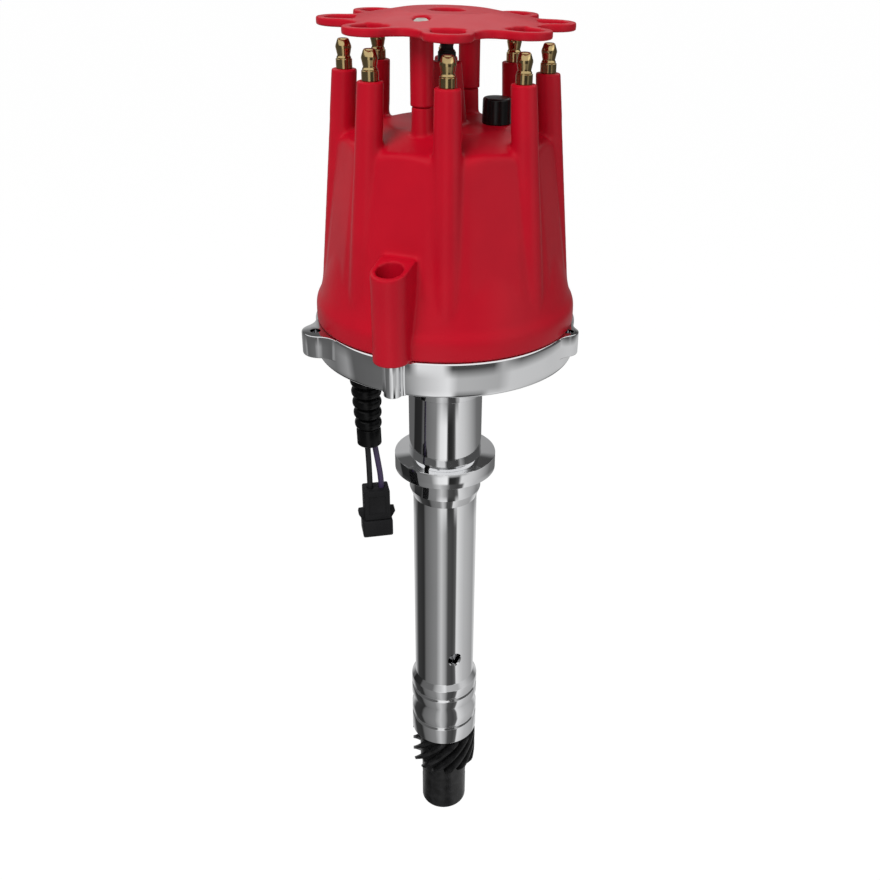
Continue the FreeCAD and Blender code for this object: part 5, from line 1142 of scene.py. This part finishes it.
class Cable(SubAssembly):
    """The pickup's lead: boot, two wires and a two-way connector."""

    boot = BootShape()
    plug = PlugShape()
    wire = WireShape()

    def build(self) -> None:
        """Make the boot and connector, then run the wires between them."""
        boot = self.build_boot()
        shell = self.build_connector()
        blades = self.build_blades()
        self.build_wire("wire_a", -1, Slot.WIRE, "pickup_wire_a", [shell, blades, boot])
        self.build_wire("wire_b", 1, Slot.VIOLET, "pickup_wire_b", [shell])

    def build_boot(self) -> Piece:
        """Turn the ribbed rubber boot and lean it towards the stem."""
        boot = Bench.lathe("boot_ribbed", self.boot.outline(), 64)
        for vertex in boot.data.vertices:
            vertex.co.x += self.boot.lean * max(self.boot.lean_top * MM - vertex.co.z, 0.0)
        (placed,) = Bench.repeated(boot, [at_polar(*LAYOUT.boot)])
        placed = Bench.smooth(Bench.settle(placed, "boot_ribbed"), 40.0)
        return self.add(placed, Slot.RUBBER, "cable_boot")

    def build_blades(self) -> Piece:
        """Cut the two contact blades inside the connector's socket."""
        plug = self.plug
        low, high = plug.low + plug.blade_margins[0], plug.waist - plug.blade_margins[1]
        blades = [
            Bench.soften(plug.box("blade", plug.blade_half, low, high, side * plug.pitch / 2), 0.22, 3)
            for side in (-1, 1)
        ]
        piece = Bench.gather("blade_pair", blades)
        piece.data.transform(plug.turned())
        return self.add(Bench.smooth(piece), Slot.BRASS, "connector_blades")

    def build_connector(self) -> Piece:
        """Model the connector's shell: body, latches, recessed panel, wire entries and open socket."""
        plug = self.plug
        x, y = plug.place
        shell = Bench.soften(plug.box("plug_upper", plug.upper_half, plug.waist, plug.top), 0.7, 3)
        lower = Bench.soften(plug.box("plug_lower", plug.lower_half, plug.low, plug.waist), 0.8, 3)
        latch = Bench.prism("plug_latch", plug.latch, -plug.latch_half, plug.latch_half)
        latch.data.transform(Matrix.Rotation(math.pi / 2, 4, "X"))
        Bench.soften(latch, 0.3, 2)
        seat = Matrix.Translation((x * MM, y * MM, (plug.waist - plug.latch_drop) * MM))
        latches = Bench.repeated(latch, [seat, seat @ Matrix.Rotation(math.pi, 4, "Z")])
        Bench.join_by(shell, "UNION", lower, *latches)
        socket = plug.box("plug_socket", plug.socket_half, plug.low - 1, plug.waist - plug.socket_roof)
        half, front = plug.panel_half
        low, high = plug.waist + plug.panel_margins[0], plug.top - plug.panel_margins[1]
        panel = Bench.block(
            "plug_panel", (x - half, y - front, low), (x + half, y - plug.panel_floor, high),
        )
        tools = [socket, Bench.soften(panel, 0.25, 2)]
        for side in (-1, 1):
            mouth = Vector((x + side * plug.pitch / 2, y, plug.top))
            foot = mouth - Vector((0.0, 0.0, plug.entry_depth))
            tools.append(Bench.rod("entry", plug.entry, foot, mouth + Vector((0.0, 0.0, 1.0)), 32))
        Bench.join_by(shell, "DIFFERENCE", *tools)
        Bench.settle(shell, "connector_body")
        shell.data.transform(plug.turned())
        return self.add(Bench.smooth(shell, 35.0), Slot.BLACK, "connector_shell")

    def route(self, side: int) -> list[Point3]:
        """A wire's control points, from the pickup through the boot into the connector."""
        x, y = polar(*LAYOUT.boot)
        turn = math.radians(self.plug.turn)
        half = side * self.plug.pitch / 2
        end_x = self.plug.place[0] + half * math.cos(turn)
        end_y = self.plug.place[1] + half * math.sin(turn)
        return [
            (x + side * 1.25, y, 65.75),
            (x + side * 1.5, y + 0.3, 52.0),
            (x + side * 1.35 + 0.5, y, 37.0),
            (x + side * 1.35 + 1.1, y - 0.1, 24.0),
            (x + side * 1.9 + 2.0, y + 0.1, 13.5),
            (end_x, end_y + 0.1, 4.6),
            (end_x, end_y, -0.9),
        ]

    def build_wire(self, name: str, side: int, slot: Slot, node: str,
                   carried: list[Piece]) -> None:
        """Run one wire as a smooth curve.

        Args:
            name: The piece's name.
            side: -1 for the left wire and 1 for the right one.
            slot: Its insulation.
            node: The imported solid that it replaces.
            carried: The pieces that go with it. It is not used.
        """
        curve = bpy.data.curves.new(name, "CURVE")
        curve.dimensions = "3D"
        curve.bevel_depth = self.wire.radius * MM
        curve.bevel_resolution = 6
        curve.resolution_u = 12
        curve.use_fill_caps = True
        points = self.route(side)
        line = curve.splines.new("NURBS")
        line.points.add(len(points) - 1)
        for point, place in zip(line.points, points):
            point.co = (*(value * MM for value in place), 1.0)
        line.order_u = 3
        line.use_endpoint_u = True
        wire = Bench.placed(name, curve)
        self.add(wire, slot, node)
        x, y = polar(*LAYOUT.boot)
        x * MM
        y * MM
        2 * self.wire.radius * MM


class Drive(SubAssembly):
    """The shaft with its gear and the pieces fixed on it."""

    body = "shaft_group"

    def build(self) -> None:
        """Break the gear's sharp edges and dress the rest."""
        gear = Bench.copied(self.frame["nodes"]["drive_gear"], "gear_cut")
        Bench.modify(gear, "DECIMATE", decimate_type="DISSOLVE", angle_limit=math.radians(1.5))
        Bench.smooth(Bench.soften(gear, 0.22, 2, 38.0), 32.0)
        self.add(gear, Slot.IRON, "drive_gear")
        self.keep(Slot.STEEL, "drive_shaft", "bearing_inner_race", "stop_pin")
        self.keep(Slot.STEEL, "gear_thrust_washer", "sleeve_thrust_washer")
        self.keep(Slot.IRON, "gear_roll_pin")
        self.keep(Slot.PLATED, "driver_plate")
        self.keep(Slot.BRONZE, "stop_bushing")


class Works(SubAssembly):
    """The pieces inside the housing and cap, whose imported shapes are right."""

    def build(self) -> None:
        """Dress each inner piece."""
        self.keep(Slot.BRONZE, "lower_bushing")
        self.keep(Slot.STEEL, "bearing_outer_race", "bearing_balls", "pickup_pole", "advance_sleeve")
        self.keep(Slot.STEEL, "weight_pivots", "weight_a_drive_pin", "weight_b_drive_pin")
        self.keep(Slot.STEEL, "rotor_stands", "reluctor")
        self.keep(Slot.IRON, "bearing_snap_ring")
        self.keep(Slot.PLATED, "pickup_bracket", "pickup_screws", "weight_base", "weight_a", "weight_b")
        self.keep(Slot.PLATED, "advance_spring_1", "advance_spring_2", "rotor_screws")
        self.keep(Slot.BLACK, "pickup_coil_case")
        self.keep(Slot.RED, "rotor")
        self.keep(Slot.BRASS, "rotor_contact")


@dataclass(frozen=True)
class Lamp:
    """A square soft lamp that points at the object's middle."""

    name: str
    place: Point3
    size: float
    power: float
    mirrored: bool

    def hang(self) -> None:
        """Hang the lamp in the scene."""
        data = bpy.data.lights.new(self.name, "AREA")
        data.size = self.size
        data.energy = self.power
        lamp = Bench.placed(self.name, data)
        lamp.location = self.place
        lamp.rotation_euler = (-Vector(self.place)).to_track_quat("-Z", "Y").to_euler()
        lamp.visible_glossy = self.mirrored


@dataclass
class Studio:
    """The floor, the cards, the lamps and the camera.

    Lengths are in metres, the lens and its sensor in millimetres, and the camera's turns in
    radians. Each band of cards has the height of its upper edge and the azimuths where its
    brightness is given; between them it changes evenly.
    """

    floor_height: float = -0.46
    floor_size: float = 60.0
    floor_tone: float = 0.92
    floor_glow: float = 1.06
    floor_share: float = 0.9
    surround: float = 0.40
    lamps: tuple[Lamp, ...] = (
        Lamp("key", (-0.472, -0.786, 1.174), 0.7, 15.5, False),
        Lamp("fill", (1.1, -0.55, 0.35), 0.9, 2.2, True),
    )
    card_radius: float = 0.30
    card_top: float = 0.28
    card_lift: float = 0.0005
    card_join: float = 0.015
    lens: float = 40.6747
    sensor: float = 36.0
    shift: Pair = (-0.06439, 0.00511)
    camera_place: Point3 = (0.0, -0.383867, 0.221878)
    yaw: float = -0.059
    pitch: float = -0.5036
    roll: float = 0.0327
    cards: tuple[tuple[float, tuple[Pair, ...]], ...] = (
        (-0.20, (
            (-180.0, 0.3), (-150.0, 0.6), (-118.0, 0.05), (-82.0, 0.03), (-72.0, 0.15), (-30.0, 0.26),
            (-12.0, 0.62), (2.0, 0.38), (12.0, 0.08), (30.0, 0.06), (41.0, 0.12), (46.0, 0.82),
            (75.0, 0.54), (125.0, 0.36), (150.0, 0.7), (180.0, 0.3),
        )),
        (-0.09, (
            (-180.0, 0.12), (-118.0, 0.13), (-113.0, 0.02), (-82.0, 0.025), (-76.0, 0.12), (-30.0, 0.24),
            (-14.0, 0.90), (4.0, 1.0), (9.0, 0.02), (22.0, 0.03), (30.0, 0.08), (36.0, 0.82),
            (62.0, 0.66), (90.0, 0.42), (118.0, 0.18), (180.0, 0.12),
        )),
        (-0.02, (
            (-180.0, 0.35), (-105.0, 0.18), (-88.0, 0.34), (-80.0, 0.12), (-38.0, 0.16), (-20.0, 0.55),
            (2.0, 0.90), (10.0, 0.52), (44.0, 0.46), (54.0, 0.66), (120.0, 0.60), (180.0, 0.35),
        )),
        (0.19, (
            (-180.0, 0.50), (-140.0, 0.40), (-110.0, 0.12), (-28.0, 0.12), (-21.0, 0.85), (-2.0, 0.85),
            (5.0, 0.07), (38.0, 0.07), (46.0, 0.45), (62.0, 0.10), (130.0, 0.10), (155.0, 0.34),
            (180.0, 0.38),
        )),
        (1.0, (
            (-180.0, 0.26), (-166.0, 0.10), (-28.0, 0.12), (-21.0, 0.85), (-2.0, 0.85), (5.0, 0.07),
            (38.0, 0.07), (46.0, 0.45), (62.0, 0.10), (160.0, 0.05), (180.0, 0.10),
        )),
    )

    def build(self) -> None:
        """Set up everything round the object."""
        self.build_world()
        self.build_floor()
        self.build_cards()
        for lamp in self.lamps:
            lamp.hang()
        self.build_camera()
        bpy.context.scene.view_settings.view_transform = "Standard"

    def build_world(self) -> None:
        """A white surround: white to the eye and to metal, softer as light."""
        world = bpy.data.worlds.new("studio")
        bpy.context.scene.world = world
        graph = Graph(world)
        path = graph.node("LightPath")
        clear = Number(graph, path.outputs["Is Camera Ray"])
        for ray in ("Is Glossy Ray", "Is Transmission Ray"):
            clear = clear.combined("MAXIMUM", Number(graph, path.outputs[ray]))
        soft, white = (
            graph.node("Background", sockets={"Color": WHITE, "Strength": strength}).outputs[0]
            for strength in (self.surround, 1.0)
        )
        graph.show(graph.node("MixShader", sockets={0: clear, 1: soft, 2: white}))

    def build_floor(self) -> None:
        """A plain pale floor under the object."""
        Bench.clear()
        bpy.ops.mesh.primitive_plane_add(size=self.floor_size, location=(0, 0, self.floor_height))
        floor = bpy.context.object
        floor.name = "floor"
        graph = SurfaceGraph("pale_floor")
        glow = graph.node("Emission", sockets={"Color": WHITE, "Strength": self.floor_glow})
        path = graph.node("LightPath")
        share = Number(graph, path.outputs["Is Camera Ray"]) * self.floor_share
        graph.show(graph.node("MixShader", sockets={
            0: share, 1: graph.shader.outputs["BSDF"], 2: glow.outputs[0],
        }))
        tone = (self.floor_tone,) * 3
        floor.data.materials.append(graph.finished(base_color=(*tone, 1.0), roughness=0.9))

    def build_cards(self) -> None:
        """Light and dark cards all round and underneath, which only polished surfaces see."""
        low = self.floor_height + self.card_lift
        section = [(0.0, low), (self.card_radius, low), (self.card_radius, self.card_top)]
        wall = Bench.lathe("cards", [(radius / MM, height / MM) for radius, height in section])
        graph = Graph(bpy.data.materials.new("cards"))
        glow = graph.node("Emission", sockets={"Color": self.card_tones(graph), "Strength": 1.0})
        graph.show(glow)
        wall.data.materials.append(graph.owner)
        wall.visible_camera = False
        wall.visible_diffuse = False
        wall.visible_shadow = False
        wall.visible_transmission = False

    def card_tones(self, graph: Graph) -> Socket:
        """The cards' brightness by azimuth, one band of heights above another."""
        _, apart = graph.apart()
        turn = graph.node("Math", {"operation": "ARCTAN2"}, {
            0: apart.outputs["X"], 1: Number(graph, apart.outputs["Y"]) * -1.0,
        })
        share = Number(graph, turn.outputs[0]) * (1 / FULL_TURN) + 0.5
        height = Number(graph, apart.outputs["Z"])
        ramps = []
        for _, levels in self.cards:
            stops = [(angle / 360 + 0.5, (level,) * 3) for angle, level in levels]
            ramps.append(graph.node("ValToRGB", {"stops": stops}, {0: share}).outputs["Color"])
        shown = ramps[0]
        for (edge, _), ramp in zip(self.cards, ramps[1:]):
            above = graph.between(height, edge - self.card_join, edge + self.card_join)
            shown = graph.blended(above, shown, ramp)
        return shown

    def build_camera(self) -> None:
        """Place the camera at the photograph's viewing angle."""
        data = bpy.data.cameras.new("camera")
        data.sensor_width = self.sensor
        data.lens = self.lens
        data.shift_x, data.shift_y = self.shift
        data.clip_start = 0.01
        data.clip_end = 100.0
        camera = Bench.placed("camera", data)
        level = Vector((math.cos(self.yaw), math.sin(self.yaw), 0.0))
        ahead = Vector((-math.sin(self.yaw), math.cos(self.yaw), 0.0))
        view = ahead * math.cos(self.pitch) + Vector((0.0, 0.0, math.sin(self.pitch)))
        over = level.cross(view)
        right = level * math.cos(self.roll) + over * math.sin(self.roll)
        up = over * math.cos(self.roll) - level * math.sin(self.roll)
        turned = Matrix((right, up, -view)).transposed().to_4x4()
        camera.matrix_world = Matrix.Translation(self.camera_place) @ turned
        bpy.context.scene.camera = camera


def main() -> None:
    """Build every sub-assembly in order."""
    logging.basicConfig(level=logging.INFO, format="%(name)s: %(message)s")
    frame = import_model()
    wardrobe = Wardrobe()
    for assembly in (Housing, Cap, Terminals, Retainer, Cable, Drive, Works):
        assembly(frame, wardrobe).build()
    Studio().build()


if __name__ == "__main__":
    main()
